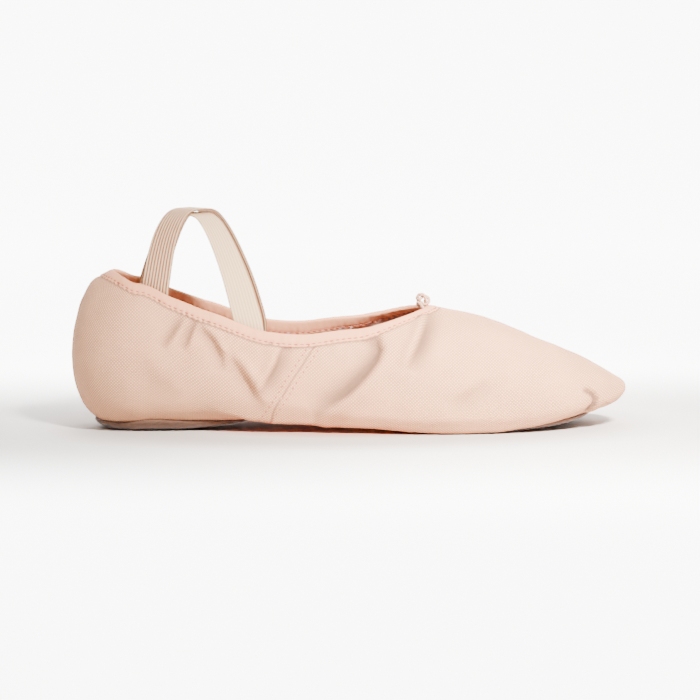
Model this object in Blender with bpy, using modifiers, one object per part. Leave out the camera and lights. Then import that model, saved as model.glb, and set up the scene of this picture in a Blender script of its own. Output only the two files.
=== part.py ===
"""A split-sole canvas ballet shoe with a drawstring collar and two crossed elastic straps.

Run it with blender --background --python part.py, or from Blender's text editor.
Metres, +Z up, toe towards +X. The origin is on the floor under the middle of the length.
"""

import math
from collections import namedtuple

import bmesh
import bpy
from mathutils import Matrix, Vector

# Sizes of the last, the shape that the canvas is sewn to
LENGTH = 0.235
BALL_WIDTH = 0.077
WAIST_WIDTH = 0.056
HEEL_WIDTH = 0.054
HEEL_HEIGHT = 0.0655
SIDE_HEIGHT = 0.0405
INSTEP_HEIGHT = 0.0505
TOE_HEIGHT = 0.0165
ARCH_LIFT = 0.0030
THROAT = 0.634 * LENGTH
MOUTH_WIDTH = 0.047

# Sizes of the pieces
WALL = 0.0013
SOLE_THICKNESS = 0.0018
INSOLE_THICKNESS = 0.0014
BINDING_WIDTH = 0.0057
BINDING_THICKNESS = 0.0021
STRAP_WIDTH = 0.0120
STRAP_THICKNESS = 0.0011
STRAP_RISE = 0.0900
STRAP_TAIL = 0.0110
CORD_DIAMETER = 0.0011
CLEARANCE = 0.0003
SEAM_GAP = 1.5 * CLEARANCE
STRAP_SET_IN = 4 * CLEARANCE

# Places along the last, measured from the back of the heel
HEEL_CENTRE = HEEL_WIDTH / 2
MOUTH_FRONT = 0.500 * LENGTH
BALL = 0.655 * LENGTH
ARCH_BACK = 0.250 * LENGTH
ARCH_FRONT = 0.575 * LENGTH
NOSE = 0.0075

# The wall's section is a superellipse above its widest line, fuller round the heel, and a
# squarer one below it
UPPER_POWER = 2.3
HEEL_POWER = 2.5
FLATTENED = 1.04
TOE_POWER = 1.95

# Columns and rows of the upper's surface
HEEL_COLUMNS = 8
SIDE_COLUMNS = 10
VAMP_COLUMNS = 14
UPPER_ROWS = 11
LOWER_ROWS = 7
MARGIN = 0.52

# How far the collar leans in over the heel, 1 upright and 0 closed, and how pointed it is
# there, seen from above: 2 is half an ellipse
HEEL_CURL = 0.37
HEEL_POINT = 1.6

FLAT = SOLE_THICKNESS + CLEARANCE

# One row for each section: its place along the last, width, height of the widest line,
# collar height and collar width (or none where the vamp is closed), height of the ridge
# (or none where the collar is open), height of the bottom, and how square the bottom is.
Section = namedtuple("Section", "along width belly collar mouth ridge bottom square")
SECTIONS = (
    Section(HEEL_CENTRE, HEEL_WIDTH, 0.45 * HEEL_HEIGHT,
            0.954 * HEEL_HEIGHT, 0.728 * MOUTH_WIDTH, None, FLAT, 2.8),
    Section(0.175 * LENGTH, 0.99 * HEEL_WIDTH, 0.41 * HEEL_HEIGHT,
            0.873 * HEEL_HEIGHT, 0.87 * MOUTH_WIDTH, None, FLAT, 2.8),
    Section(0.245 * LENGTH, 0.985 * WAIST_WIDTH * 0.97, 0.34 * HEEL_HEIGHT,
            0.778 * HEEL_HEIGHT, 0.96 * MOUTH_WIDTH, None, FLAT + 0.45 * ARCH_LIFT, 3.0),
    Section(0.345 * LENGTH, WAIST_WIDTH, 0.42 * SIDE_HEIGHT,
            1.053 * SIDE_HEIGHT, 1.00 * MOUTH_WIDTH, None, FLAT + ARCH_LIFT, 3.2),
    Section(0.415 * LENGTH, 1.05 * WAIST_WIDTH, 0.36 * SIDE_HEIGHT,
            1.023 * SIDE_HEIGHT, 1.02 * MOUTH_WIDTH, None, FLAT + 0.9 * ARCH_LIFT, 3.4),
    Section(MOUTH_FRONT, 0.86 * BALL_WIDTH, 0.24 * INSTEP_HEIGHT,
            1.073 * SIDE_HEIGHT, 1.00 * MOUTH_WIDTH, None, FLAT + 0.3 * ARCH_LIFT, 3.8),
    Section(THROAT, 0.995 * BALL_WIDTH, 0.21 * INSTEP_HEIGHT,
            None, None, INSTEP_HEIGHT, FLAT, 4.2),
    Section(0.700 * LENGTH, BALL_WIDTH, 0.20 * INSTEP_HEIGHT,
            None, None, 0.953 * INSTEP_HEIGHT, FLAT, 4.2),
    Section(0.771 * LENGTH, BALL_WIDTH, 0.21 * INSTEP_HEIGHT,
            None, None, 0.852 * INSTEP_HEIGHT, FLAT, 4.0),
    Section(0.843 * LENGTH, BALL_WIDTH, 0.23 * INSTEP_HEIGHT,
            None, None, 0.709 * INSTEP_HEIGHT, FLAT + 0.06 * TOE_HEIGHT, 3.6),
    Section(0.897 * LENGTH, BALL_WIDTH, 0.26 * INSTEP_HEIGHT,
            None, None, 0.617 * INSTEP_HEIGHT, FLAT + 0.18 * TOE_HEIGHT, 3.2),
    Section(0.951 * LENGTH, BALL_WIDTH, 0.90 * TOE_HEIGHT,
            None, None, 1.530 * TOE_HEIGHT, 0.50 * TOE_HEIGHT, 2.8),
    Section(LENGTH, BALL_WIDTH, 1.00 * TOE_HEIGHT,
            None, None, 1.280 * TOE_HEIGHT, 0.70 * TOE_HEIGHT, 2.6),
)

# The heel patch and the forefoot patch: place along the last and half width, as shares
Patch = namedtuple("Patch", "name start end half_width widest")
SOLE_HEEL = Patch("sole_heel", 0.040 * LENGTH, 0.335 * LENGTH, 0.36 * HEEL_WIDTH, 0.40)
SOLE_FOREFOOT = Patch("sole_forefoot", 0.520 * LENGTH, 0.935 * LENGTH, 0.40 * BALL_WIDTH, 0.42)
INSOLE_HEEL = Patch("insole_heel", 0.050 * LENGTH, 0.320 * LENGTH, 0.36 * HEEL_WIDTH, 0.40)
INSOLE_FOREFOOT = Patch(
    "insole_forefoot", 0.510 * LENGTH, 0.925 * LENGTH, 0.41 * BALL_WIDTH, 0.42
)

# How a strap rises from the collar to the crossing: share of the way across, share of the rise
# The last stretch is level, so that the two lie flat on one another at the crossing.
STEEP_RISE = ((0.07, 0.20), (0.15, 0.41), (0.25, 0.61), (0.39, 0.79), (0.57, 0.93), (0.78, 0.995))
SLANTED_RISE = ((0.08, 0.17), (0.20, 0.39), (0.33, 0.58), (0.48, 0.77), (0.64, 0.92), (0.79, 0.995))
Strap = namedtuple("Strap", "name near far crown lift near_rise far_rise")
STRAP_OVER = Strap("strap_over", 0.147 * LENGTH, 0.325 * LENGTH, 0.213 * LENGTH,
                   STRAP_THICKNESS + 3 * CLEARANCE, STEEP_RISE, SLANTED_RISE)
STRAP_UNDER = Strap("strap_under", 0.315 * LENGTH, 0.142 * LENGTH, 0.213 * LENGTH,
                    0.0, SLANTED_RISE, SLANTED_RISE)

CANVAS_PINK = (0.80, 0.62, 0.53)
TAPE_PINK = (0.82, 0.63, 0.55)
ELASTIC_BEIGE = (0.78, 0.68, 0.60)
SUEDE_TAN = (0.52, 0.36, 0.25)
LINING_PINK = (0.74, 0.54, 0.46)


def smooth_curve(rows, at):
    """The value at a place, on a smooth curve through (place, value) rows that never
    swings past them, so that two equal rows have a level stretch between them."""
    places = [row[0] for row in rows]
    values = [row[1] for row in rows]
    if at <= places[0]:
        return values[0]
    if at >= places[-1]:
        return values[-1]
    k = max(i for i in range(len(places) - 1) if places[i] <= at)

    def slope(i):
        if i == 0 or i == len(places) - 1:
            return 0.0
        before = (values[i] - values[i - 1]) / (places[i] - places[i - 1])
        after = (values[i + 1] - values[i]) / (places[i + 1] - places[i])
        return 0.0 if before * after <= 0 else 2 * before * after / (before + after)

    span = places[k + 1] - places[k]
    t = (at - places[k]) / span
    return (
        (2 * t**3 - 3 * t**2 + 1) * values[k]
        + (t**3 - 2 * t**2 + t) * span * slope(k)
        + (3 * t**2 - 2 * t**3) * values[k + 1]
        + (t**3 - t**2) * span * slope(k + 1)
    )


def arch(share, power):
    """The height of a unit superellipse at a share of its half width."""
    return max(0.0, 1.0 - min(1.0, abs(share)) ** power) ** (1.0 / power)


def fullness(along):
    """How full the wall's section is above its widest line."""
    return smooth_curve(((HEEL_CENTRE, HEEL_POWER), (0.345 * LENGTH, UPPER_POWER)), along)


def ridge_rows():
    """The ridge of the last. Over the open collar it is the height that the wall leans towards."""
    rows = []
    for s in SECTIONS:
        if s.ridge is None:
            lean = arch(s.mouth / s.width, fullness(s.along))
            rows.append((s.along, s.belly + (s.collar - s.belly) / lean))
        else:
            rows.append((s.along, s.ridge))
    return rows


RIDGE_ROWS = ridge_rows()
WIDTH_ROWS = [(s.along, s.width / 2) for s in SECTIONS if s.along < BALL] + [
    (BALL, BALL_WIDTH / 2)
]
BELLY_ROWS = [(s.along, s.belly) for s in SECTIONS]
BOTTOM_ROWS = [(s.along, s.bottom) for s in SECTIONS]
SQUARE_ROWS = [(s.along, s.square) for s in SECTIONS]
MOUTH_ROWS = [(s.along, s.mouth / 2) for s in SECTIONS if s.mouth is not None]


def nose_share(along):
    """1 along the last, falling to 0 at the toe's tip, which rounds it in side view."""
    return arch((along - (LENGTH - NOSE)) / NOSE, 2) if along > LENGTH - NOSE else 1.0


def half_width(along):
    """Half the last's width at its widest line. The toe is half an ellipse."""
    if along > BALL:
        return BALL_WIDTH / 2 * arch((along - BALL) / (LENGTH - BALL), TOE_POWER)
    return smooth_curve(WIDTH_ROWS, along)


def belly(along):
    """Height of the widest line."""
    return smooth_curve(BELLY_ROWS, along)


def ridge(along):
    """Height of the ridge, real over the vamp and imagined over the collar."""
    level = belly(along)
    return level + (smooth_curve(RIDGE_ROWS, along) - level) * nose_share(along)


def bottom(along):
    """Height of the canvas's underside at the middle."""
    level = belly(along)
    return level - (level - smooth_curve(BOTTOM_ROWS, along)) * nose_share(along)


def mouth_half_width(along):
    """Half the collar's width. The throat is half an ellipse."""
    if along > MOUTH_FRONT:
        share = (along - MOUTH_FRONT) / (THROAT - MOUTH_FRONT)
        return smooth_curve(MOUTH_ROWS, MOUTH_FRONT) * arch(share, 2)
    return smooth_curve(MOUTH_ROWS, along)


def section_share(along, side):
    """How far out a plan point is, as a share of the last's half width there."""
    if along < HEEL_CENTRE:
        return math.hypot(along - HEEL_CENTRE, side) / HEEL_CENTRE
    width = half_width(along)
    return abs(side) / width if width > 1e-6 else 0.0


def upper_height(along, side):
    """Height of the outer wall above its widest line."""
    place = max(along, HEEL_CENTRE)
    share = section_share(along, side)
    return belly(place) + (ridge(place) - belly(place)) * arch(share, fullness(place))


def lower_height(along, side):
    """Height of the outer wall below its widest line. Its middle is flat."""
    place = max(along, HEEL_CENTRE)
    depth = min(1.0, FLATTENED * arch(section_share(along, side), smooth_curve(SQUARE_ROWS, place)))
    return belly(place) - (belly(place) - bottom(place)) * depth


def heel_collar_share(angle):
    """The collar's distance from the heel's centre, as a share of the last's."""
    side = mouth_half_width(HEEL_CENTRE) / half_width(HEEL_CENTRE)
    back, across = abs(math.cos(angle)) / HEEL_CURL, abs(math.sin(angle)) / side
    return (back**HEEL_POINT + across**HEEL_POINT) ** (-1 / HEEL_POINT)


def columns():
    """The plan of one side of the upper, heel to toe: (margin, widest line, collar) points."""
    rows = []
    for k in range(HEEL_COLUMNS):
        angle = k / HEEL_COLUMNS * math.pi / 2
        reach = [MARGIN * HEEL_CENTRE, HEEL_CENTRE, heel_collar_share(angle) * HEEL_CENTRE]
        rows.append([(HEEL_CENTRE - r * math.cos(angle), -r * math.sin(angle)) for r in reach])
    for k in range(SIDE_COLUMNS):
        along = HEEL_CENTRE + (MOUTH_FRONT - HEEL_CENTRE) * k / SIDE_COLUMNS
        width = half_width(along)
        rows.append([(along, -MARGIN * width), (along, -width), (along, -mouth_half_width(along))])
    for k in range(VAMP_COLUMNS + 1):
        turn = math.sin(k / VAMP_COLUMNS * math.pi / 2)
        margin_end = SOLE_FOREFOOT.end - 2 * SOLE_THICKNESS
        margin = MOUTH_FRONT + (margin_end - MOUTH_FRONT) * turn
        widest = MOUTH_FRONT + (LENGTH - MOUTH_FRONT) * turn
        collar = MOUTH_FRONT + (THROAT - MOUTH_FRONT) * turn
        start = MARGIN * half_width(MOUTH_FRONT)
        grown = start + (0.62 * BALL_WIDTH / 2 - start) * math.sin(turn * math.pi / 2)
        inner = grown * arch(k / VAMP_COLUMNS, 2.4)
        rows.append([(margin, -inner), (widest, -half_width(widest)),
                     (collar, -mouth_half_width(collar))])
    return rows


def between(start, end, share):
    """A plan point part of the way from one to another."""
    return tuple(a + (b - a) * share for a, b in zip(start, end))


def wall_line(margin, widest, collar, steps=48):
    """One line up the outer wall, from the widest line to the collar, as many close points."""
    out = max(section_share(*collar), 0.0)
    turn = math.acos(min(1.0, out)) if collar[0] < MOUTH_FRONT else math.pi / 2
    points = []
    for k in range(steps + 1):
        share = (1 - math.cos(turn * k / steps)) / (1 - math.cos(turn))
        x, y = between(widest, collar, share)
        points.append(Vector((x, y, upper_height(x, y))))
    return points


def resample(points, start, end, count):
    """Evenly spaced points on a line between two distances along it."""
    reach = [0.0]
    for a, b in zip(points, points[1:]):
        reach.append(reach[-1] + (b - a).length)
    found = []
    for k in range(count + 1):
        at = start + (end - start) * k / count
        i = max(j for j in range(len(points) - 1) if reach[j] <= at or j == 0)
        found.append(points[i].lerp(points[i + 1], (at - reach[i]) / (reach[i + 1] - reach[i])))
    return found


def line_length(points):
    return sum((b - a).length for a, b in zip(points, points[1:]))


def collar_sections():
    """For each column of one side, the wall from its widest line to the binding, and the
    binding's foot and rim."""
    found = []
    for column in columns():
        line = wall_line(*column)
        whole = line_length(line)
        foot = whole - BINDING_WIDTH
        wall = resample(line, 0.0, foot - SEAM_GAP, UPPER_ROWS)
        found.append((wall, resample(line, foot, whole, 1)))
    return found


def mirrored_ring(half):
    """A closed ring from the lines of one side: those on the middle line aren't repeated."""
    other = [[Vector((p.x, -p.y, p.z)) for p in line] for line in half[1:-1]]
    return half + other[::-1]


def new_object(name, mesh, colour, roughness):
    """An object with its own material, in the shoe's collection."""
    obj = bpy.data.objects.new(name, mesh)
    material = bpy.data.materials.new(name)
    material.use_nodes = True
    shader = material.node_tree.nodes["Principled BSDF"]
    shader.inputs["Base Color"].default_value = (*colour, 1.0)
    shader.inputs["Roughness"].default_value = roughness
    shader.inputs["Metallic"].default_value = 0.0
    mesh.materials.append(material)
    bpy.data.collections["ballet_shoe"].objects.link(obj)
    # The last is measured from its heel, and the shoe's origin is at half its length.
    mesh.transform(Matrix.Translation((-LENGTH / 2, 0.0, 0.0)))
    mesh.shade_smooth()
    mesh.set_sharp_from_angle(angle=math.radians(50))
    return obj


def mesh_of(name, bm):
    """A mesh from a bmesh, its doubles merged and its faces pointing one way."""
    bmesh.ops.remove_doubles(bm, verts=bm.verts, dist=1e-6)
    bmesh.ops.recalc_face_normals(bm, faces=bm.faces)
    mesh = bpy.data.meshes.new(name)
    bm.to_mesh(mesh)
    bm.free()
    return mesh


def grid_faces(bm, lines, closed):
    """Faces between neighbouring lines of points, all with the same number of points."""
    rings = [[bm.verts.new(p) for p in line] for line in lines]
    pairs = list(zip(rings, rings[1:] + rings[:1])) if closed else list(zip(rings, rings[1:]))
    for first, second in pairs:
        for k in range(len(first) - 1):
            corners = [first[k], second[k], second[k + 1], first[k + 1]]
            bm.faces.new(corners)


def add_solidify(obj, thickness, offset):
    wall = obj.modifiers.new("wall", "SOLIDIFY")
    wall.thickness = thickness
    wall.offset = offset
    wall.use_even_offset = True
    wall.use_quality_normals = True


def make_upper():
    """The canvas body: side walls and turned-in margins all round, and the arch closed below."""
    lines = []
    for (margin, widest, _), (wall, _) in zip(columns(), collar_sections()):
        lower = []
        for k in range(LOWER_ROWS):
            share = math.sin(k / LOWER_ROWS * math.pi / 2)
            x, y = between(margin, widest, share)
            lower.append(Vector((x, y, lower_height(x, y))))
        lines.append(lower + wall)
    bm = bmesh.new()
    grid_faces(bm, mirrored_ring(lines), closed=True)
    arch_lines = []
    for margin, _, _ in columns():
        if ARCH_BACK <= margin[0] <= ARCH_FRONT:
            across = [margin[1] * (1 - k / 3) for k in range(7)]
            arch_lines.append([Vector((margin[0], y, lower_height(margin[0], y))) for y in across])
    grid_faces(bm, arch_lines, closed=False)
    upper = new_object("upper", mesh_of("upper", bm), CANVAS_PINK, 0.9)
    add_solidify(upper, WALL, -1)
    return upper


def make_binding():
    """The tape round the collar: a band as wide as the tape, thicker than the wall, round on top."""
    half = [pair for _, pair in collar_sections()]
    ring = mirrored_ring(half)
    count = len(ring)
    profile = (
        (-0.55, 0.00), (0.55, 0.00), (1.00, 0.14), (1.00, 0.80),
        (0.62, 0.96), (-0.62, 0.96), (-1.00, 0.80), (-1.00, 0.14),
    )
    lines = []
    for k, (foot, rim) in enumerate(ring):
        up = rim - foot
        along = ring[(k + 1) % count][1] - ring[k - 1][1]
        outward = along.cross(up).normalized()
        middle = foot - outward * WALL / 2
        lines.append([middle + outward * a * BINDING_THICKNESS / 2 + up * b for a, b in profile])
    bm = bmesh.new()
    grid_faces(bm, [line + line[:1] for line in lines], closed=True)
    return new_object("collar_binding", mesh_of("collar_binding", bm), TAPE_PINK, 0.85)


def underside_point(along, side, depth):
    """A point moved outwards through the sole by a depth, square to the canvas's underside."""
    step = 1e-5
    slope_x = (lower_height(along + step, side) - lower_height(along - step, side)) / (2 * step)
    slope_y = (lower_height(along, side + step) - lower_height(along, side - step)) / (2 * step)
    outward = Vector((slope_x, slope_y, -1.0)).normalized()
    return Vector((along, side, lower_height(along, side))) + outward * depth


def make_patch(patch, depth, thickness, colour, stations=20, across=12):
    """A pad or sole patch that follows the canvas's underside, at a depth outside it."""
    lines = []
    for k in range(stations + 1):
        share = (1 - math.cos(math.pi * k / stations)) / 2
        along = patch.start + (patch.end - patch.start) * share
        if share < patch.widest:
            width = patch.half_width * arch(1 - share / patch.widest, 2.2)
        else:
            width = patch.half_width * arch((share - patch.widest) / (1 - patch.widest), 2.2)
        sides = [width * math.sin(math.pi / 2 * (2 * j / across - 1)) for j in range(across + 1)]
        lines.append([underside_point(along, side, depth) for side in sides])
    bm = bmesh.new()
    grid_faces(bm, lines, closed=False)
    mesh = mesh_of(patch.name, bm)
    if mesh.polygons[len(mesh.polygons) // 2].normal.z > 0:
        mesh.flip_normals()
    obj = new_object(patch.name, mesh, colour, 0.95)
    add_solidify(obj, thickness, 1)
    return obj


def collar_foot(along, sign, below):
    """A point on a strap's tail inside the collar, at a distance below the rim."""
    width, mouth = half_width(along), mouth_half_width(along)
    line = wall_line(None, (along, -width), (along, -mouth))
    whole = line_length(line)
    low, high = resample(line, whole - below - 1e-4, whole - below + 1e-4, 1)
    up = (high - low).normalized()
    outward = Vector((0.0, -up.z, up.y))
    inset = WALL / 2 + BINDING_THICKNESS / 2 + STRAP_SET_IN + STRAP_THICKNESS / 2
    place = (low + high) / 2 - outward * inset
    return Vector((place.x, -sign * place.y, place.z))


def collar_direction(along, sign):
    """The way the collar runs at a place, towards the toe."""
    step = 0.4 * STRAP_WIDTH
    ahead, behind = collar_foot(along + step, sign, 0.0), collar_foot(along - step, sign, 0.0)
    return (ahead - behind).normalized()


def strap_path(strap):
    """Points down the middle of a strap, from its tail in the near side to its tail in the far."""
    crown = Vector((strap.crown, 0.0, STRAP_RISE + strap.lift))
    halves = []
    for along, sign, rise in ((strap.near, -1, strap.near_rise), (strap.far, 1, strap.far_rise)):
        rim = collar_foot(along, sign, 0.0)
        points = [collar_foot(along, sign, STRAP_TAIL * k / 2) for k in (2, 1)] + [rim]
        for across, up in rise:
            flat = rim.lerp(crown, across)
            points.append(Vector((flat.x, flat.y, rim.z + (crown.z - rim.z) * up)))
        halves.append(points)
    return halves[0] + [crown] + halves[1][::-1]


def spline_through(points, steps):
    """A smooth line through points, with steps between each two."""
    found = []
    for k in range(len(points) - 1):
        before, after = points[max(k - 1, 0)], points[min(k + 2, len(points) - 1)]
        a, b = points[k], points[k + 1]
        for j in range(steps):
            t = j / steps
            found.append(
                (2 * t**3 - 3 * t**2 + 1) * a + (t**3 - 2 * t**2 + t) * (b - before) / 2
                + (3 * t**2 - 2 * t**3) * b + (t**3 - t**2) * (after - a) / 2
            )
    return found + [points[-1]]


def make_strap(strap):
    """A flat elastic ribbon. Its width lies along the collar at its ends and square to its own
    path at the crossing."""
    points = spline_through(strap_path(strap), 3)
    heading = points[-1] - points[0]
    across = Vector((heading.y, -heading.x, 0.0)).normalized()
    near, far = collar_direction(strap.near, -1), collar_direction(strap.far, 1)
    lines = []
    for k, p in enumerate(points):
        along = (points[min(k + 1, len(points) - 1)] - points[max(k - 1, 0)]).normalized()
        share = k / (len(points) - 1)
        end = near if share < 0.5 else far
        width = end.lerp(across, math.sin(math.pi * share) ** 2)
        width = (width - along * width.dot(along)).normalized()
        lines.append([p - width * STRAP_WIDTH / 2, p, p + width * STRAP_WIDTH / 2])
    bm = bmesh.new()
    grid_faces(bm, lines, closed=False)
    obj = new_object(strap.name, mesh_of(strap.name, bm), ELASTIC_BEIGE, 0.8)
    add_solidify(obj, STRAP_THICKNESS, 0)
    return obj


def make_drawstring():
    """The drawstring's tied end at the throat: an overhand knot whose ends go into the binding."""
    _, (_, rim) = collar_sections()[-1]
    ring, winding = 1.75 * CORD_DIAMETER, 0.72 * CORD_DIAMETER
    turns, gap = 44, 0.30
    knot = []
    for k in range(turns + 1):
        t = gap + (2 * math.pi - 2 * gap) * k / turns - math.pi / 2
        reach = ring + winding * math.cos(3 * t + math.pi)
        knot.append(rim + Vector((reach * math.cos(2 * t), winding * math.sin(3 * t + math.pi),
                                  reach * math.sin(2 * t))))
    seat = rim.z - WALL / 2 + CORD_DIAMETER / 2
    lift = seat - min(place.z for place in knot)
    knot = [place + Vector((-CORD_DIAMETER, 0.0, lift)) for place in knot]
    curve = bpy.data.curves.new("drawstring", "CURVE")
    curve.dimensions = "3D"
    curve.bevel_depth = CORD_DIAMETER / 2
    curve.bevel_resolution = 2
    curve.use_fill_caps = True
    spline = curve.splines.new("POLY")
    spline.points.add(len(knot) - 1)
    for point, place in zip(spline.points, knot):
        point.co = (*place, 1.0)
    temporary = bpy.data.objects.new("drawstring_line", curve)
    bpy.data.collections["ballet_shoe"].objects.link(temporary)
    graph = bpy.context.evaluated_depsgraph_get()
    mesh = bpy.data.meshes.new_from_object(temporary.evaluated_get(graph))
    bm = bmesh.new()
    bm.from_mesh(mesh)
    bpy.data.objects.remove(temporary)
    return new_object("drawstring", mesh_of("drawstring", bm), ELASTIC_BEIGE, 0.8)


def main():
    for obj in list(bpy.data.objects):
        bpy.data.objects.remove(obj)
    collection = bpy.data.collections.new("ballet_shoe")
    bpy.context.scene.collection.children.link(collection)
    make_upper()
    make_binding()
    make_patch(SOLE_HEEL, CLEARANCE, SOLE_THICKNESS, SUEDE_TAN)
    make_patch(SOLE_FOREFOOT, CLEARANCE, SOLE_THICKNESS, SUEDE_TAN)
    inside = -(WALL + CLEARANCE + INSOLE_THICKNESS)
    make_patch(INSOLE_HEEL, inside, INSOLE_THICKNESS, LINING_PINK)
    make_patch(INSOLE_FOREFOOT, inside, INSOLE_THICKNESS, LINING_PINK)
    make_strap(STRAP_OVER)
    make_strap(STRAP_UNDER)
    make_drawstring()


main()
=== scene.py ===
"""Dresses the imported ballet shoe: canvas, tape, elastic, cord and suede, on a pale studio floor.

All lengths are in metres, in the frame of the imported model: +X to the toe, +Z up.
"""

import math

import bmesh
import bpy
import numpy as np
from bpy.props import FloatProperty, FloatVectorProperty, IntProperty, PointerProperty
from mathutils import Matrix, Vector
from mathutils.bvhtree import BVHTree


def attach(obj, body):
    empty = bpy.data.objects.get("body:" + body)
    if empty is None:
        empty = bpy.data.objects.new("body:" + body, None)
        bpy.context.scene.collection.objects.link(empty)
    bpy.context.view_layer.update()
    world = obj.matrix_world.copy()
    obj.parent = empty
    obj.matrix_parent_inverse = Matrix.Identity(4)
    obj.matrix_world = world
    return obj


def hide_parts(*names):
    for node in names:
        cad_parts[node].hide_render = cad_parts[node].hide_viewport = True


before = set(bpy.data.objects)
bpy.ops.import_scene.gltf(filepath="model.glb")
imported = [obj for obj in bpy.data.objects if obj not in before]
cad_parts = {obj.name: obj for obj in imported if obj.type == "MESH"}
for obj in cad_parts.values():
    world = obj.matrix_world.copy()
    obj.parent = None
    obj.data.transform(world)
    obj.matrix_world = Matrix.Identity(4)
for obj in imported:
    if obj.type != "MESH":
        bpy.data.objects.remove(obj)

bl_info = {
    "name": "Ballet Shoe",
    "version": (1, 0, 0),
    "blender": (4, 5, 0),
    "location": "View3D > Sidebar > Ballet Shoe",
    "description": "Dresses a canvas ballet shoe and its studio",
    "category": "Object",
}

MM = 0.001


def linear(hex_colour):
    """An sRGB hex value as linear red, green and blue."""
    channels = [int(hex_colour[i:i + 2], 16) / 255 for i in (0, 2, 4)]
    return tuple(c / 12.92 if c <= 0.04045 else ((c + 0.055) / 1.055) ** 2.4 for c in channels)


def colour_property(name, description, hex_colour):
    return FloatVectorProperty(name=name, description=description, subtype="COLOR", size=3,
                               min=0, max=1, default=linear(hex_colour))


def length_property(name, description, value):
    return FloatProperty(name=name, description=description, default=value, unit="LENGTH")


class ShoeSizes(bpy.types.PropertyGroup):
    """Sizes of the shoe's cloth detail."""

    thread_pitch: length_property(
        "Canvas thread pitch", "Distance between the canvas's threads", 0.70 * MM)
    crease_depth: FloatProperty(
        name="Crease depth", description="Scale of the canvas's creases", default=1.0)
    stitch_length: length_property("Stitch length", "Length of one visible stitch", 1.75 * MM)
    stitch_pitch: length_property(
        "Stitch pitch", "Distance from one stitch to the next", 2.5 * MM)
    thread_radius: length_property("Thread radius", "Radius of the sewing thread", 0.25 * MM)
    ribs: IntProperty(
        name="Elastic ribs", description="Lengthwise ribs across one elastic strap", default=9)
    rib_depth: length_property(
        "Rib depth", "Depth of the grooves between the elastic's ribs", 0.24 * MM)


class ShoeColours(bpy.types.PropertyGroup):
    """Colours of the shoe's materials."""

    canvas: colour_property("Canvas", "Cotton canvas of the upper", "ECB088")
    tape: colour_property("Tape", "Folded tape round the collar", "DF9B75")
    lining: colour_property("Lining", "Cotton lining inside", "BA8E80")
    elastic: colour_property("Elastic", "Flat elastic straps", "D3B28B")
    cord: colour_property("Cord", "Drawstring", "C99B7E")
    suede: colour_property("Suede", "Sole patches", "644432")
    # Darker than the real thread, which matches the canvas: painted shade of the needle holes.
    thread: colour_property("Thread", "Sewing thread", "A85640")


# The last, by the same sections as the solid model

LENGTH = 0.235
BALL_WIDTH = 0.077
WAIST_WIDTH = 0.056
HEEL_WIDTH = 0.054
HEEL_HEIGHT = 0.0655
SIDE_HEIGHT = 0.0405
INSTEP_HEIGHT = 0.0505
TOE_HEIGHT = 0.0165
ARCH_LIFT = 0.0030
THROAT = 0.634 * LENGTH
MOUTH_WIDTH = 0.047
WALL = 0.0013
SOLE_THICKNESS = 0.0018
INSOLE_THICKNESS = 0.0014
BINDING_WIDTH = 0.0057
BINDING_THICKNESS = 0.0021
STRAP_WIDTH = 0.0120
STRAP_THICKNESS = 0.0011
STRAP_RISE = 0.0900
STRAP_TAIL = 0.0110
CORD_DIAMETER = 0.0011
CLEARANCE = 0.0003
STRAP_SET_IN = 4 * CLEARANCE
HEEL_CENTRE = HEEL_WIDTH / 2
MOUTH_FRONT = 0.500 * LENGTH
BALL = 0.655 * LENGTH
NOSE = 0.0075
HEEL_CURL = 0.37
HEEL_POINT = 1.6
UPPER_POWER = 2.3
HEEL_POWER = 2.5
FLATTENED = 1.04
TOE_POWER = 1.95
FLAT = SOLE_THICKNESS + CLEARANCE

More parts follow.
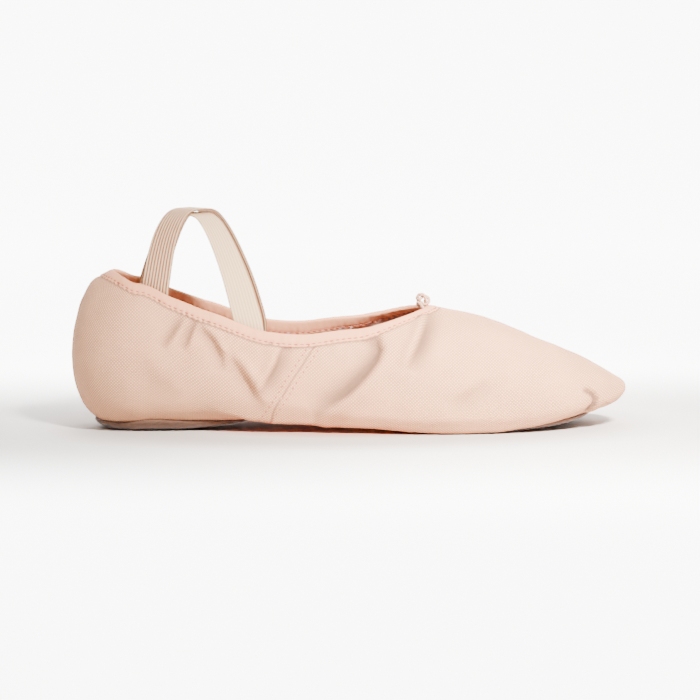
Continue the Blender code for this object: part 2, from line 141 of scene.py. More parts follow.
# Columns: place along the last from the heel, width, height of the widest line, collar height,
# collar width, height of the ridge, height of the bottom, squareness of the bottom.
SECTIONS = (
    (HEEL_CENTRE, HEEL_WIDTH, 0.45 * HEEL_HEIGHT,
     0.954 * HEEL_HEIGHT, 0.728 * MOUTH_WIDTH, None, FLAT, 2.8),
    (0.175 * LENGTH, 0.99 * HEEL_WIDTH, 0.41 * HEEL_HEIGHT,
     0.873 * HEEL_HEIGHT, 0.87 * MOUTH_WIDTH, None, FLAT, 2.8),
    (0.245 * LENGTH, 0.985 * WAIST_WIDTH * 0.97, 0.34 * HEEL_HEIGHT,
     0.778 * HEEL_HEIGHT, 0.96 * MOUTH_WIDTH, None, FLAT + 0.45 * ARCH_LIFT, 3.0),
    (0.345 * LENGTH, WAIST_WIDTH, 0.42 * SIDE_HEIGHT,
     1.053 * SIDE_HEIGHT, 1.00 * MOUTH_WIDTH, None, FLAT + ARCH_LIFT, 3.2),
    (0.415 * LENGTH, 1.05 * WAIST_WIDTH, 0.36 * SIDE_HEIGHT,
     1.023 * SIDE_HEIGHT, 1.02 * MOUTH_WIDTH, None, FLAT + 0.9 * ARCH_LIFT, 3.4),
    (MOUTH_FRONT, 0.86 * BALL_WIDTH, 0.24 * INSTEP_HEIGHT,
     1.073 * SIDE_HEIGHT, 1.00 * MOUTH_WIDTH, None, FLAT + 0.3 * ARCH_LIFT, 3.8),
    (THROAT, 0.995 * BALL_WIDTH, 0.21 * INSTEP_HEIGHT,
     None, None, INSTEP_HEIGHT, FLAT, 4.2),
    (0.700 * LENGTH, BALL_WIDTH, 0.20 * INSTEP_HEIGHT,
     None, None, 0.953 * INSTEP_HEIGHT, FLAT, 4.2),
    (0.771 * LENGTH, BALL_WIDTH, 0.21 * INSTEP_HEIGHT,
     None, None, 0.852 * INSTEP_HEIGHT, FLAT, 4.0),
    (0.843 * LENGTH, BALL_WIDTH, 0.23 * INSTEP_HEIGHT,
     None, None, 0.709 * INSTEP_HEIGHT, FLAT + 0.06 * TOE_HEIGHT, 3.6),
    (0.897 * LENGTH, BALL_WIDTH, 0.26 * INSTEP_HEIGHT,
     None, None, 0.617 * INSTEP_HEIGHT, FLAT + 0.18 * TOE_HEIGHT, 3.2),
    (0.951 * LENGTH, BALL_WIDTH, 0.90 * TOE_HEIGHT,
     None, None, 1.530 * TOE_HEIGHT, 0.50 * TOE_HEIGHT, 2.8),
    (LENGTH, BALL_WIDTH, 1.00 * TOE_HEIGHT,
     None, None, 1.280 * TOE_HEIGHT, 0.70 * TOE_HEIGHT, 2.6),
)


def hermite(t, start, end, start_slope, end_slope):
    """From the start to the end as t runs from 0 to 1, with a given slope at each."""
    return ((2 * t**3 - 3 * t**2 + 1) * start + (t**3 - 2 * t**2 + t) * start_slope
            + (3 * t**2 - 2 * t**3) * end + (t**3 - t**2) * end_slope)


def smooth_curve(rows):
    """A smooth curve through (place, value) rows that never swings past them."""
    x = np.array([row[0] for row in rows])
    y = np.array([row[1] for row in rows])
    secant = np.diff(y) / np.diff(x)
    slope = np.zeros(len(x))
    a, b = secant[:-1], secant[1:]
    same = a * b > 0
    slope[1:-1][same] = 2 * a[same] * b[same] / (a[same] + b[same])

    def at(place):
        place = np.clip(np.asarray(place, float), x[0], x[-1])
        k = np.clip(np.searchsorted(x, place, side="right") - 1, 0, len(x) - 2)
        span = x[k + 1] - x[k]
        t = (place - x[k]) / span
        return hermite(t, y[k], y[k + 1], span * slope[k], span * slope[k + 1])

    return at


def arch(share, power):
    """The height of a unit superellipse at a share of its half width."""
    share = np.clip(np.abs(share), 0.0, 1.0)
    return np.clip(1.0 - share**power, 0.0, 1.0) ** (1.0 / power)


def ramp(value, start, span):
    """0 up to the start and 1 from a span past it, even between. With a negative span it
    rises downwards."""
    return np.clip((value - start) / span, 0, 1)


def bell(distance, width):
    """1 at no distance, falling away smoothly over the width."""
    return np.exp(-(distance / width) ** 2)


def unit(vectors):
    """Vectors brought to a length of 1."""
    return vectors / np.linalg.norm(vectors, axis=-1, keepdims=True)


def run_of(points):
    """How far along a line of points each of them lies."""
    return np.concatenate([[0], np.cumsum(np.linalg.norm(np.diff(points, axis=0), axis=1))])


fullness = smooth_curve(((HEEL_CENTRE, HEEL_POWER), (0.345 * LENGTH, UPPER_POWER)))


def ridge_height(section):
    """The ridge of the last. Over the open collar it is the height the wall leans towards."""
    along, width, level, collar, mouth, top, _, _ = section
    return top if top is not None else level + (collar - level) / float(
        arch(mouth / width, fullness(along)))


ridge_line = smooth_curve([(s[0], ridge_height(s)) for s in SECTIONS])
width_line = smooth_curve([(s[0], s[1] / 2) for s in SECTIONS if s[0] < BALL]
                          + [(BALL, BALL_WIDTH / 2)])
belly = smooth_curve([(s[0], s[2]) for s in SECTIONS])
bottom_line = smooth_curve([(s[0], s[6]) for s in SECTIONS])
squareness = smooth_curve([(s[0], s[7]) for s in SECTIONS])
mouth_line = smooth_curve([(s[0], s[4] / 2) for s in SECTIONS if s[4] is not None])


def nose_share(along):
    """1 along the last, falling to 0 at the toe's tip."""
    return arch(np.maximum(0.0, along - (LENGTH - NOSE)) / NOSE, 2)


def half_width(along):
    """Half the last's width at its widest line."""
    tip = BALL_WIDTH / 2 * arch(np.maximum(0.0, along - BALL) / (LENGTH - BALL), TOE_POWER)
    return np.where(along > BALL, tip, width_line(along))


def ridge(along):
    return belly(along) + (ridge_line(along) - belly(along)) * nose_share(along)


def bottom(along):
    return belly(along) - (belly(along) - bottom_line(along)) * nose_share(along)


def mouth_half_width(along):
    """Half the collar's width. The throat is half an ellipse."""
    share = np.maximum(0.0, along - MOUTH_FRONT) / (THROAT - MOUTH_FRONT)
    return np.where(along > MOUTH_FRONT, mouth_line(MOUTH_FRONT) * arch(share, 2),
                    mouth_line(along))


def section_share(along, side):
    """How far out a plan point is, as a share of the last's half width there."""
    fan = np.hypot(along - HEEL_CENTRE, side) / HEEL_CENTRE
    width = np.maximum(half_width(along), 1e-6)
    return np.where(along < HEEL_CENTRE, fan, np.abs(side) / width)


def upper_height(along, side):
    """Height of the outer wall above its widest line."""
    place = np.maximum(along, HEEL_CENTRE)
    return belly(place) + (ridge(place) - belly(place)) * arch(
        section_share(along, side), fullness(place))


def lower_height(along, side):
    """Height of the outer wall below its widest line."""
    place = np.maximum(along, HEEL_CENTRE)
    share = np.clip(section_share(along, side), 0, 1)
    depth = np.minimum(1.0, FLATTENED * arch(share, squareness(place)))
    return belly(place) - (belly(place) - bottom(place)) * depth


def heel_collar_share(angle):
    """The collar's distance from the heel's centre, as a share of the last's."""
    side = float(mouth_half_width(HEEL_CENTRE) / half_width(HEEL_CENTRE))
    back, across = np.abs(np.cos(angle)) / HEEL_CURL, np.abs(np.sin(angle)) / side
    return (back**HEEL_POINT + across**HEEL_POINT) ** (-1 / HEEL_POINT)


def spread(stops):
    """Places from one stop to the next at each stretch's own step: (place, step) rows."""
    found = []
    for (start, step), (end, _) in zip(stops, stops[1:]):
        count = max(1, round((end - start) / step))
        found += list(np.linspace(start, end, count, endpoint=False))
    return np.array(found + [stops[-1][0]])


# The side seams as (along, height) points, and how far from a seam its stitches and the turned
# edges of its cloth lie
SIDE_SEAM = ((0.1030, 0.0400), (0.1004, 0.0358), (0.0912, 0.0222), (0.0872, 0.0154),
             (0.0798, 0.0044), (0.0780, 0.0020))
SEAM_ALLOWANCE = 2.1 * MM
SEAM_EDGE = 2.7 * MM


def plan_columns():
    """The plan of one side of the upper, heel to toe, close together where a seam runs:
    arrays of (centre, widest, collar) points."""
    angles = spread(((0.0, 0.014), (0.14, 0.048), (math.pi / 2, 1)))[:-1]
    reach = [np.zeros_like(angles), np.full_like(angles, HEEL_CENTRE),
             heel_collar_share(angles) * HEEL_CENTRE]
    stretches = [[np.stack([HEEL_CENTRE - r * np.cos(angles), -r * np.sin(angles)], 1)
                  for r in reach]]
    along = spread(((HEEL_CENTRE, 1.1 * MM), (0.046, 0.62 * MM), (0.078, 0.38 * MM),
                    (0.106, 1.0 * MM), (MOUTH_FRONT, 1)))[:-1]
    turn = np.sin(spread(((0.0, 0.0125), (math.pi / 2, 1))))
    vamp = [MOUTH_FRONT + (end - MOUTH_FRONT) * turn
            for end in (LENGTH - 0.5 * NOSE, LENGTH, THROAT)]
    for centre, widest, collar in ((along, along, along), vamp):
        stretches.append([np.stack([centre, np.zeros_like(centre)], 1),
                          np.stack([widest, -half_width(widest)], 1),
                          np.stack([collar, -mouth_half_width(collar)], 1)])
    return np.concatenate([np.stack(lines, 1) for lines in stretches])


def wall_line(widest, collar, steps=160):
    """Close points up the outer wall, from the widest line to the collar, with the distance
    of each along the wall."""
    share = float(section_share(collar[0], collar[1]))
    turn = math.acos(min(1.0, share)) if collar[0] < MOUTH_FRONT else math.pi / 2
    part = (1 - np.cos(turn * np.linspace(0, 1, steps + 1))) / (1 - math.cos(turn))
    x = widest[0] + (collar[0] - widest[0]) * part
    y = widest[1] + (collar[1] - widest[1]) * part
    points = np.stack([x, y, upper_height(x, y)], 1)
    return points, run_of(points)


def at_reach(points, reach, wanted):
    """Points at the wanted distances along a line, carried on straight past its end."""
    found = np.stack([np.interp(wanted, reach, points[:, i]) for i in range(3)], 1)
    past = np.maximum(0, np.asarray(wanted) - reach[-1])[:, None]
    return found + past * unit(points[-1] - points[-2])


def ring(half):
    """One side's columns and their mirror image, as one loop from the heel's back round the
    near side, the toe and the far side. Columns on the middle line aren't repeated."""
    return np.concatenate([half, (half * np.array([1, -1, 1]))[1:-1][::-1]])


def normals_of(grid):
    """Outward normals of a looped grid of points: loop first, up the wall second."""
    along = np.roll(grid, -1, axis=0) - np.roll(grid, 1, axis=0)
    up = np.gradient(grid, axis=1)
    normal = np.cross(along, up)
    size = np.linalg.norm(normal, axis=2, keepdims=True)
    return normal / np.maximum(size, 1e-15)


def polyline_distance(x, z, line):
    """Signed distance in the side view from points to a line of (along, height) points, and
    how far along it the nearest place is, from 0 to 1."""
    line = np.array(line)
    lengths = np.linalg.norm(np.diff(line, axis=0), axis=1)
    starts = np.concatenate([[0], np.cumsum(lengths)])
    best = np.full(x.shape, 1e9)
    sign = np.ones(x.shape)
    place = np.zeros(x.shape)
    for k, (a, b) in enumerate(zip(line, line[1:])):
        d = (b - a) / lengths[k]
        along = np.clip((x - a[0]) * d[0] + (z - a[1]) * d[1], 0, lengths[k])
        off_x, off_z = x - a[0] - along * d[0], z - a[1] - along * d[1]
        distance = np.hypot(off_x, off_z)
        nearer = distance < best
        best = np.where(nearer, distance, best)
        sign = np.where(nearer, np.sign(d[0] * (z - a[1]) - d[1] * (x - a[0])), sign)
        place = np.where(nearer, (starts[k] + along) / starts[-1], place)
    return best * sign, place


# The main creases: side (-1 near, 1 far), depth and half width in mm, how much ridge stands
# beside the trough and on which side of it, how dark its painted shade is, and (along,
# height) points in mm.
CREASES = (
    (-1, 1.45, 1.4, 0.6, 0.80, ((46.5, 49.5), (44.6, 46.5), (41.5, 42.0), (37.5, 36.0))),
    (-1, 1.45, 1.3, 0.6, 0.80, ((52.0, 48.5), (50.4, 45.6), (48.3, 40.5), (46.0, 35.0))),
    (-1, 1.50, 1.5, 0.7, 0.58, ((52.5, 47.5), (54.6, 43), (58.6, 38.4), (61.6, 31.5), (62.0, 26))),
    (-1, 1.80, 2.1, 0.8, 0.32, ((65.0, 32), (68.0, 28.0), (72.2, 21.4), (75.5, 15.6), (79, 11))),
    (-1, 1.60, 1.7, -0.8, 0.95, ((89.8, 38), (88.0, 34.5), (86.0, 28.6), (82.6, 22.6),
                                 (78.8, 15.5))),
    (-1, 2.40, 2.4, 0.6, 1.25, ((124.0, 46), (125.5, 39.5), (126.7, 35.3), (125.3, 31.8),
                                (122.7, 28.2), (119.6, 24.5), (116.4, 21.1), (113.0, 18.0),
                                (108.7, 15.2), (104, 12), (99.5, 8.5))),
    (-1, 2.00, 1.9, -0.9, 1.12, ((151.5, 51), (149.4, 45.5), (146.5, 39.6), (143.2, 33.2),
                                 (140.0, 27.0))),
    (-1, 0.60, 3.0, -0.5, 0.38, ((174, 22), (166, 17), (156, 12))),
    (-1, 0.50, 3.0, 0.5, 0.31, ((28, 32), (35, 22), (45, 15))),
    (1, 1.20, 1.4, 0.5, 0.75, ((50, 49), (46.5, 43), (42, 36))),
    (1, 1.10, 1.3, 0.5, 0.69, ((57, 49), (55, 43), (53, 38))),
    (1, 1.60, 2.0, 0.7, 0.75, ((66, 45), (71, 33), (76, 22), (80, 13))),
    (1, 1.40, 1.8, -0.7, 0.85, ((92, 39), (88, 29), (83, 18))),
    (1, 2.20, 2.4, -0.8, 0.90, ((129, 43), (128, 34), (120, 24), (108, 15), (97, 10))),
    (1, 1.40, 1.8, -0.8, 0.85, ((150, 48), (146, 38), (141, 29))),
)

# Toe pleats: side, depth and half width in mm, and (along, height) points in mm
PLEATS = (
    (-1, 1.50, 1.0, ((213.5, 17.8), (216.8, 15.9), (219.2, 13.4), (218.6, 10.8), (214.8, 7.6))),
    (1, 1.10, 1.0, ((214.4, 18.4), (218.0, 15.0), (216.6, 9.6))),
    (1, 0.60, 0.9, ((206.5, 13.5), (208.0, 10.5), (206.0, 6.5))),
)


def ripple(x, y, z, size, seed):
    """A gentle, fixed unevenness of about the given size between hills."""
    state = np.random.RandomState(seed)
    total = np.zeros_like(x)
    waves = 14
    for _ in range(waves):
        way = state.normal(size=3)
        way /= np.linalg.norm(way)
        turns = 2 * math.pi / (size * state.uniform(0.7, 1.6))
        phase = state.uniform(0, 2 * math.pi)
        total += np.sin((x * way[0] + y * way[1] + z * way[2]) * turns + phase)
    return total / math.sqrt(waves / 2)


# The ridge beside a crease or pleat: how far from it and how wide, in half widths of the trough
RIDGE_AT = 1.9
RIDGE_SPREAD = math.sqrt(1.6)

# How the canvas is gathered: the distance from one gather to the next below the tape, and from
# one small pleat to the next at the throat
GATHER_PITCH = 6.4 * MM
THROAT_PLEAT_PITCH = 1.9 * MM

# Low humps and hollows across the toe: place along the last, width, height, and the level up
# its side where each starts and the rise in which it comes in. The last pinches the tip from
# above to a blunt point.
TOE_SHAPE = (
    (203.5 * MM, 6.0 * MM, 0.4 * MM, 12 * MM, 10 * MM),
    (213.0 * MM, 6.0 * MM, -0.7 * MM, 12 * MM, 10 * MM),
    (230.5 * MM, 6.5 * MM, -1.6 * MM, 11 * MM, 5 * MM),
)


def seam_relief(off, raised, sunk, sewn):
    """A seam's shape at a distance from its line: raised by the turned edges of the cloth,
    sunk along the line itself, and drawn in along its two rows of stitches."""
    off = np.abs(off)
    return (raised / (1 + np.exp((off - SEAM_EDGE) / (0.28 * MM)))
            - sunk * bell(off, 0.42 * MM) - sewn * bell(off - SEAM_ALLOWANCE, 0.40 * MM))


def cloth_relief(points, below_seam, round_collar, depth_scale):
    """How far the canvas stands out from its last at each point, by creases, gathers under the
    tape, seams, toe pleats and a gentle unevenness, and how much painted shade each point takes
    in the creases, the toe pleats and along the seams."""
    x, y, z = points[..., 0], points[..., 1], points[..., 2]
    relief = 0.20 * MM * ripple(x, y, z, 22 * MM, 3) + 0.06 * MM * ripple(x, y, z, 8 * MM, 5)
    painted_shade = np.zeros_like(x)
    for side, depth, width, shoulder, painted_darkness, line in CREASES:
        off, place = polyline_distance(x, z, np.array(line) * MM)
        off = off / (width * MM) * np.sign(shoulder)
        # Steep up to the ridge, and gentle on the other side.
        body = (-bell(off, np.where(off < 0, 2.3, 1.0))
                + abs(shoulder) * bell(off - RIDGE_AT, RIDGE_SPREAD))
        # Full over most of its length, and dying away at both ends.
        ends = np.clip(np.sin(place * math.pi * 0.97 + 0.1), 0, 1) ** 0.55
        ends = np.where(y * side > 0, ends, 0.0)
        relief += body * depth * MM * depth_scale * ends
        # The shade lies on the slope up to the ridge, and fades out slowly on the other side.
        painted_shade += painted_darkness * bell(off - 0.45, np.where(off < 0.45, 2.0, 0.65)) * ends
    # The tape's seam gathers the canvas below it.
    below = np.maximum(below_seam, 0)
    gather = np.sin(x / GATHER_PITCH * 2 * math.pi + 2.2 * ripple(x, y, z, 30 * MM, 11))
    relief += (0.30 * MM * gather * np.exp(-below / (4.5 * MM))
               * ramp(x, THROAT - 12 * MM, -20 * MM))
    # The drawstring gathers the throat: the canvas stands up there in small upright pleats.
    throat = np.exp(-below / (5 * MM)) * ramp(x, 142 * MM, 10 * MM)
    pleats = np.sin(round_collar / THROAT_PLEAT_PITCH * 2 * math.pi)
    relief += throat * (0.55 * MM + 0.22 * MM * pleats)
    # The heel is tucked in towards the sole, and the toe is pulled out.
    relief -= 0.8 * MM * ramp(z, 22 * MM, -14 * MM) * ramp(x, 12 * MM, -9 * MM)
    relief += 0.9 * MM * ramp(x, 222 * MM, 10 * MM)
    for place, width, height, level, rise in TOE_SHAPE:
        relief += height * bell(x - place, width) * ramp(z, level, rise)
    off, _ = polyline_distance(x, z, SIDE_SEAM)
    relief += seam_relief(off, raised=0.30 * MM, sunk=0.50 * MM, sewn=0.13 * MM)
    # Painted shade along the seam's sunk line.
    painted_shade += 0.8 * bell(off, 0.40 * MM)
    heel_seam = seam_relief(y, raised=0.26 * MM, sunk=0.40 * MM, sewn=0.12 * MM)
    relief += np.where((x < HEEL_CENTRE) & (z > 0), heel_seam, 0.0)
    for side, depth, width, line in PLEATS:
        off, place = polyline_distance(x, z, np.array(line) * MM)
        off = off / (width * MM)
        ends = np.where(y * side > 0, np.clip(np.sin(place * math.pi), 0, 1) ** 0.5, 0.0)
        body = -bell(off, 1.0) + 0.55 * bell(off - RIDGE_AT, RIDGE_SPREAD)
        relief += body * depth * MM * ends
        # Painted shade in the pleat's trough.
        painted_shade += 1.5 * depth * bell(off, 0.9) * ends
    # The seam under the tape lies in its own thin line of shade.
    painted_shade += 0.92 * bell(np.clip(below_seam, 0, 1), 0.75 * MM) * (below_seam > -0.1 * MM)
    return relief, painted_shade


# Mesh making

def shown(name, mesh, materials, node=None):
    """A finished piece: smooth, coloured, on the shoe's one body, standing for its CAD node."""
    obj = bpy.data.objects.new(name, mesh)
    bpy.context.scene.collection.objects.link(obj)
    for material in materials:
        mesh.materials.append(material)
    mesh.shade_smooth()
    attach(obj, "root")
    if node:
        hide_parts(node)
    return obj


def to_frame(points):
    """From places along the last, measured from the heel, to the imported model's frame."""
    return np.asarray(points) - np.array([LENGTH / 2, 0, 0])


def grid_mesh(name, grid, loop, closed=False, uv=None, attributes=None, material_rows=None):
    """A mesh over a grid of points. The first way round is a loop if loop, the second if
    closed. uv gives each point's place on the flat cloth, in metres."""
    columns, rows = grid.shape[:2]
    index = np.arange(columns * rows).reshape(columns, rows)
    right = np.roll(index, -1, axis=0) if loop else index[1:]
    left = index if loop else index[:-1]
    if closed:
        low, high = left, np.roll(left, -1, axis=1)
        low_right, high_right = right, np.roll(right, -1, axis=1)
    else:
        low, high = left[:, :-1], left[:, 1:]
        low_right, high_right = right[:, :-1], right[:, 1:]
    quads = np.stack([low, low_right, high_right, high], -1).reshape(-1, 4)
    mesh = bpy.data.meshes.new(name)
    mesh.from_pydata(to_frame(grid.reshape(-1, 3)).tolist(), [], quads.tolist())
    if uv is not None:
        layer = mesh.uv_layers.new(name="cloth")
        corners = np.zeros(len(mesh.loops), int)
        mesh.loops.foreach_get("vertex_index", corners)
        layer.data.foreach_set("uv", uv.reshape(-1, 2)[corners].ravel())
    for key, values in (attributes or {}).items():
        layer = mesh.attributes.new(key, "FLOAT", "POINT")
        layer.data.foreach_set("value", np.asarray(values, float).ravel())
    if material_rows is not None:
        faces = quads.shape[0] // low.shape[0]
        per_face = np.tile(np.asarray(material_rows[:faces], int), low.shape[0])
        mesh.polygons.foreach_set("material_index", per_face)
    mesh.update()
    return mesh


def closed_piece(name, grid, finishes, node, slot, merge=1e-6, **how):
    """A closed piece over a grid of points: the points that meet are merged, the faces that
    close up as they do are dropped, and the others are turned outwards."""
    mesh = grid_mesh(name, grid, **how)
    bm = bmesh.new()
    bm.from_mesh(mesh)
    if merge:
        bmesh.ops.remove_doubles(bm, verts=bm.verts, dist=merge)
        bmesh.ops.dissolve_degenerate(bm, edges=bm.edges, dist=merge)
    if bm.calc_volume(signed=True) < 0:
        bmesh.ops.reverse_faces(bm, faces=bm.faces)
    bm.to_mesh(mesh)
    bm.free()
    return shown(name, mesh, [finish_of(finish) for finish in finishes], node)


# Materials

def add(tree, kind, inputs=(), **settings):
    """Adds a node, sets its properties, and fills its inputs with values or links."""
    node = tree.nodes.new(kind)
    for key, value in settings.items():
        setattr(node, key, value)
    for key, value in dict(inputs).items():
        if hasattr(value, "is_linked"):
            tree.links.new(value, node.inputs[key])
        else:
            node.inputs[key].default_value = value
    return node


def math_node(tree, operation, a, b=0.0, c=0.0):
    return add(tree, "ShaderNodeMath", {0: a, 1: b, 2: c}, operation=operation).outputs[0]


def wave(tree, value, length):
    """A sine over a value, from crest to crest in a length."""
    return math_node(tree, "SINE", math_node(tree, "MULTIPLY", value, 2 * math.pi / length))


def noise(tree, place, scale, detail=2.0):
    return add(tree, "ShaderNodeTexNoise",
               {"Vector": place, "Scale": scale, "Detail": detail}).outputs[0]


def map_range(tree, value, start, end, low=0.0, high=1.0, **settings):
    """Low up to the start and high from the end."""
    return add(tree, "ShaderNodeMapRange",
               {"Value": value, "From Min": start, "From Max": end, "To Min": low,
                "To Max": high}, **settings).outputs[0]


def object_place(tree):
    return add(tree, "ShaderNodeTexCoord").outputs["Object"]


def cloth_place(tree):
    """A place on the flat cloth, and its two measures."""
    place = add(tree, "ShaderNodeUVMap", uv_map="cloth").outputs[0]
    parts = add(tree, "ShaderNodeSeparateXYZ", {0: place})
    return place, parts.outputs[0], parts.outputs[1]


def new_material(name, **sockets):
    """A material whose Principled sockets are set by name, and its tree and shader."""
    material = bpy.data.materials.new(name)
    material.use_nodes = True
    tree = material.node_tree
    shader = tree.nodes["Principled BSDF"]
    for key, value in sockets.items():
        socket = shader.inputs[key.replace("_", " ")]
        socket.default_value = (*value, 1.0) if hasattr(value, "__len__") else value
    return material, tree, shader


def surface(tree, shader, colour, height, distance, strength=1.0):
    """Gives a shader its colour, and the small relief of a height."""
    tree.links.new(colour, shader.inputs["Base Color"])
    bump = add(tree, "ShaderNodeBump",
               {"Height": height, "Distance": distance, "Strength": strength})
    tree.links.new(bump.outputs[0], shader.inputs["Normal"])


def shade(colour, *factors):
    """A colour, darker or lighter by one factor, or by one for each channel."""
    factors = factors * (3 // len(factors))
    return tuple(min(1.0, c * factor) for c, factor in zip(colour, factors))


def mix_colours(tree, factor, a, b):
    """From a to b by a factor. Each colour is a value or another node's output."""
    a, b = (colour if hasattr(colour, "is_linked") else (*colour[:3], 1.0) for colour in (a, b))
    node = add(tree, "ShaderNodeMix", {"Factor": factor, 6: a, 7: b}, data_type="RGBA")
    return node.outputs[2]


def woven(tree, pitch):
    """The height of a plain weave on the flat cloth: threads that pass over and under, and
    wander by less than their distance."""
    place, across, along = cloth_place(tree)
    drift = math_node(tree, "MULTIPLY", noise(tree, place, 160.0), 0.9 * pitch)
    warp, weft = (wave(tree, math_node(tree, "ADD", measure, drift), 2 * pitch)
                  for measure in (across, along))
    over = math_node(tree, "MULTIPLY", warp, weft)
    gaps = math_node(tree, "MINIMUM", math_node(tree, "ABSOLUTE", warp),
                     math_node(tree, "ABSOLUTE", weft))
    height = math_node(tree, "MULTIPLY_ADD", over, 0.5, 0.5)
    return math_node(tree, "ADD", math_node(tree, "MULTIPLY", height, 0.65),
                     math_node(tree, "MULTIPLY", gaps, 0.35))


def cloth_material(name, colour, pitch, depth, contrast, roughness, sheen, folded):
    """Woven cotton: its threads catch the light one by one, and its colour drifts a little.
    With folded set, it is darker where its attribute of painted shade says so: shade painted into
    the creases, pleats and seams."""
    material, tree, shader = new_material(
        name, Roughness=roughness, Sheen_Weight=sheen, Sheen_Roughness=0.45, IOR=1.47,
        Specular_IOR_Level=0.25)
    height = woven(tree, pitch)
    place = object_place(tree)
    # Between the threads the colour is darker and warmer, and on top of them it is paler: the
    # weave's own pattern, with painted shade between the threads and a painted highlight on them.
    gap = shade(colour, *(1 - contrast * part for part in (0.85, 1.05, 1.15)))
    crown = shade(colour, *(1 + contrast * part for part in (0.22, 0.42, 0.52)))
    base = mix_colours(tree, height, gap, crown)
    blotches = map_range(tree, noise(tree, place, 55.0, 3.0), 0.35, 0.75, 0.0, 0.42)
    base = mix_colours(tree, blotches, base, shade(colour, 0.97, 0.91, 0.88))
    if folded:
        # Painted shade of the creases, pleats and seams, read from the canvas's attribute.
        value = add(tree, "ShaderNodeAttribute", attribute_name="painted_shade").outputs["Fac"]
        base = mix_colours(tree, value, base, shade(colour, 0.27, 0.28, 0.31))
    fuzz = math_node(tree, "MULTIPLY", noise(tree, place, 900.0), 0.35)
    surface(tree, shader, base, math_node(tree, "ADD", height, fuzz), depth, 0.8)
    return material


def make_materials():
    """Every finish of the shoe, by name."""
    sizes = bpy.context.scene.shoe_sizes
    colours = bpy.context.scene.shoe_colours
    found = {}
    # Cotton canvas, plain woven and unglazed: matt, with an even grain of threads. They lie
    # 0.70 mm apart, where the real ones lie about 0.5 mm, so that the grain shows in the render.
    # The canvas takes the painted shade of its creases, pleats and seams.
    found["canvas"] = cloth_material(
        "cotton_canvas", colours.canvas, sizes.thread_pitch, depth=0.34 * MM, contrast=0.86,
        roughness=0.92, sheen=0.02, folded=True)
    # Cotton lining, plain woven and thinner: the same grain, rosier in the shade of the shoe.
    found["lining"] = cloth_material(
        "cotton_lining", colours.lining, 0.5 * MM, depth=0.08 * MM, contrast=0.25,
        roughness=0.95, sheen=0.05, folded=False)
    # Folded knit tape: close and smooth, with hardly any grain and a soft edge to its light.
    found["tape"] = cloth_material(
        "cotton_tape", colours.tape, 0.34 * MM, depth=0.03 * MM, contrast=0.10,
        roughness=0.85, sheen=0.04, folded=False)
    # Spun polyester sewing thread: a low gloss on each stitch.
    # Its colour is darker than the real thread, which matches the canvas: painted shade of the
    # needle holes.
    found["thread"], _, _ = new_material(
        "sewing_thread", Base_Color=colours.thread, Roughness=0.6, Sheen_Weight=0.1, IOR=1.5)

    # Covered rubber elastic, warp knitted: lengthwise ribs with fine cross threads on them.
    found["elastic"], tree, shader = new_material(
        "knitted_elastic", Roughness=0.72, Sheen_Weight=0.15, Sheen_Roughness=0.4, IOR=1.5)
    _, across, along = cloth_place(tree)
    knit = math_node(tree, "ADD", wave(tree, along, 0.55 * MM),
                     math_node(tree, "MULTIPLY", wave(tree, across, 0.45 * MM), 0.6))
    # Painted shade: the grooves between the ribs are darkened by their attribute.
    groove = add(tree, "ShaderNodeAttribute", attribute_name="groove").outputs["Fac"]
    base = mix_colours(tree, groove, colours.elastic, shade(colours.elastic, 0.36, 0.20, 0.16))
    surface(tree, shader, base, knit, 0.03 * MM, 0.6)

    # Twisted cotton cord: matt, with its plies modelled and a little fuzz in the bump.
    found["cord"], tree, shader = new_material(
        "twisted_cotton_cord", Roughness=0.85, Sheen_Weight=0.2, IOR=1.47)
    fuzz = noise(tree, object_place(tree), 2600.0)
    base = mix_colours(tree, fuzz, shade(colours.cord, 0.86), shade(colours.cord, 1.06))
    surface(tree, shader, base, fuzz, 0.06 * MM)

    # Split suede, brushed: a short nap that is darker where it is rubbed flat.
    found["suede"], tree, shader = new_material(
        "brushed_suede", Roughness=0.97, Sheen_Weight=0.35, Sheen_Roughness=0.5, IOR=1.45)
    place = object_place(tree)
    nap = noise(tree, place, 1400.0, 4.0)
    base = mix_colours(tree, nap, shade(colours.suede, 0.70), shade(colours.suede, 1.22))
    rubbed = map_range(tree, noise(tree, place, 90.0, 4.0), 0.42, 0.70, 0.0, 0.5)
    base = mix_colours(tree, rubbed, base, shade(colours.suede, 0.62))
    surface(tree, shader, base, nap, 0.12 * MM)
    return found


FINISHES = {}


def finish_of(name):
    """One of the shoe's materials. All of them are made when the first is asked for."""
    if "cotton_canvas" not in bpy.data.materials:
        FINISHES.update(make_materials())
    return FINISHES[name]


# Stitches

STITCH_SEED = 7


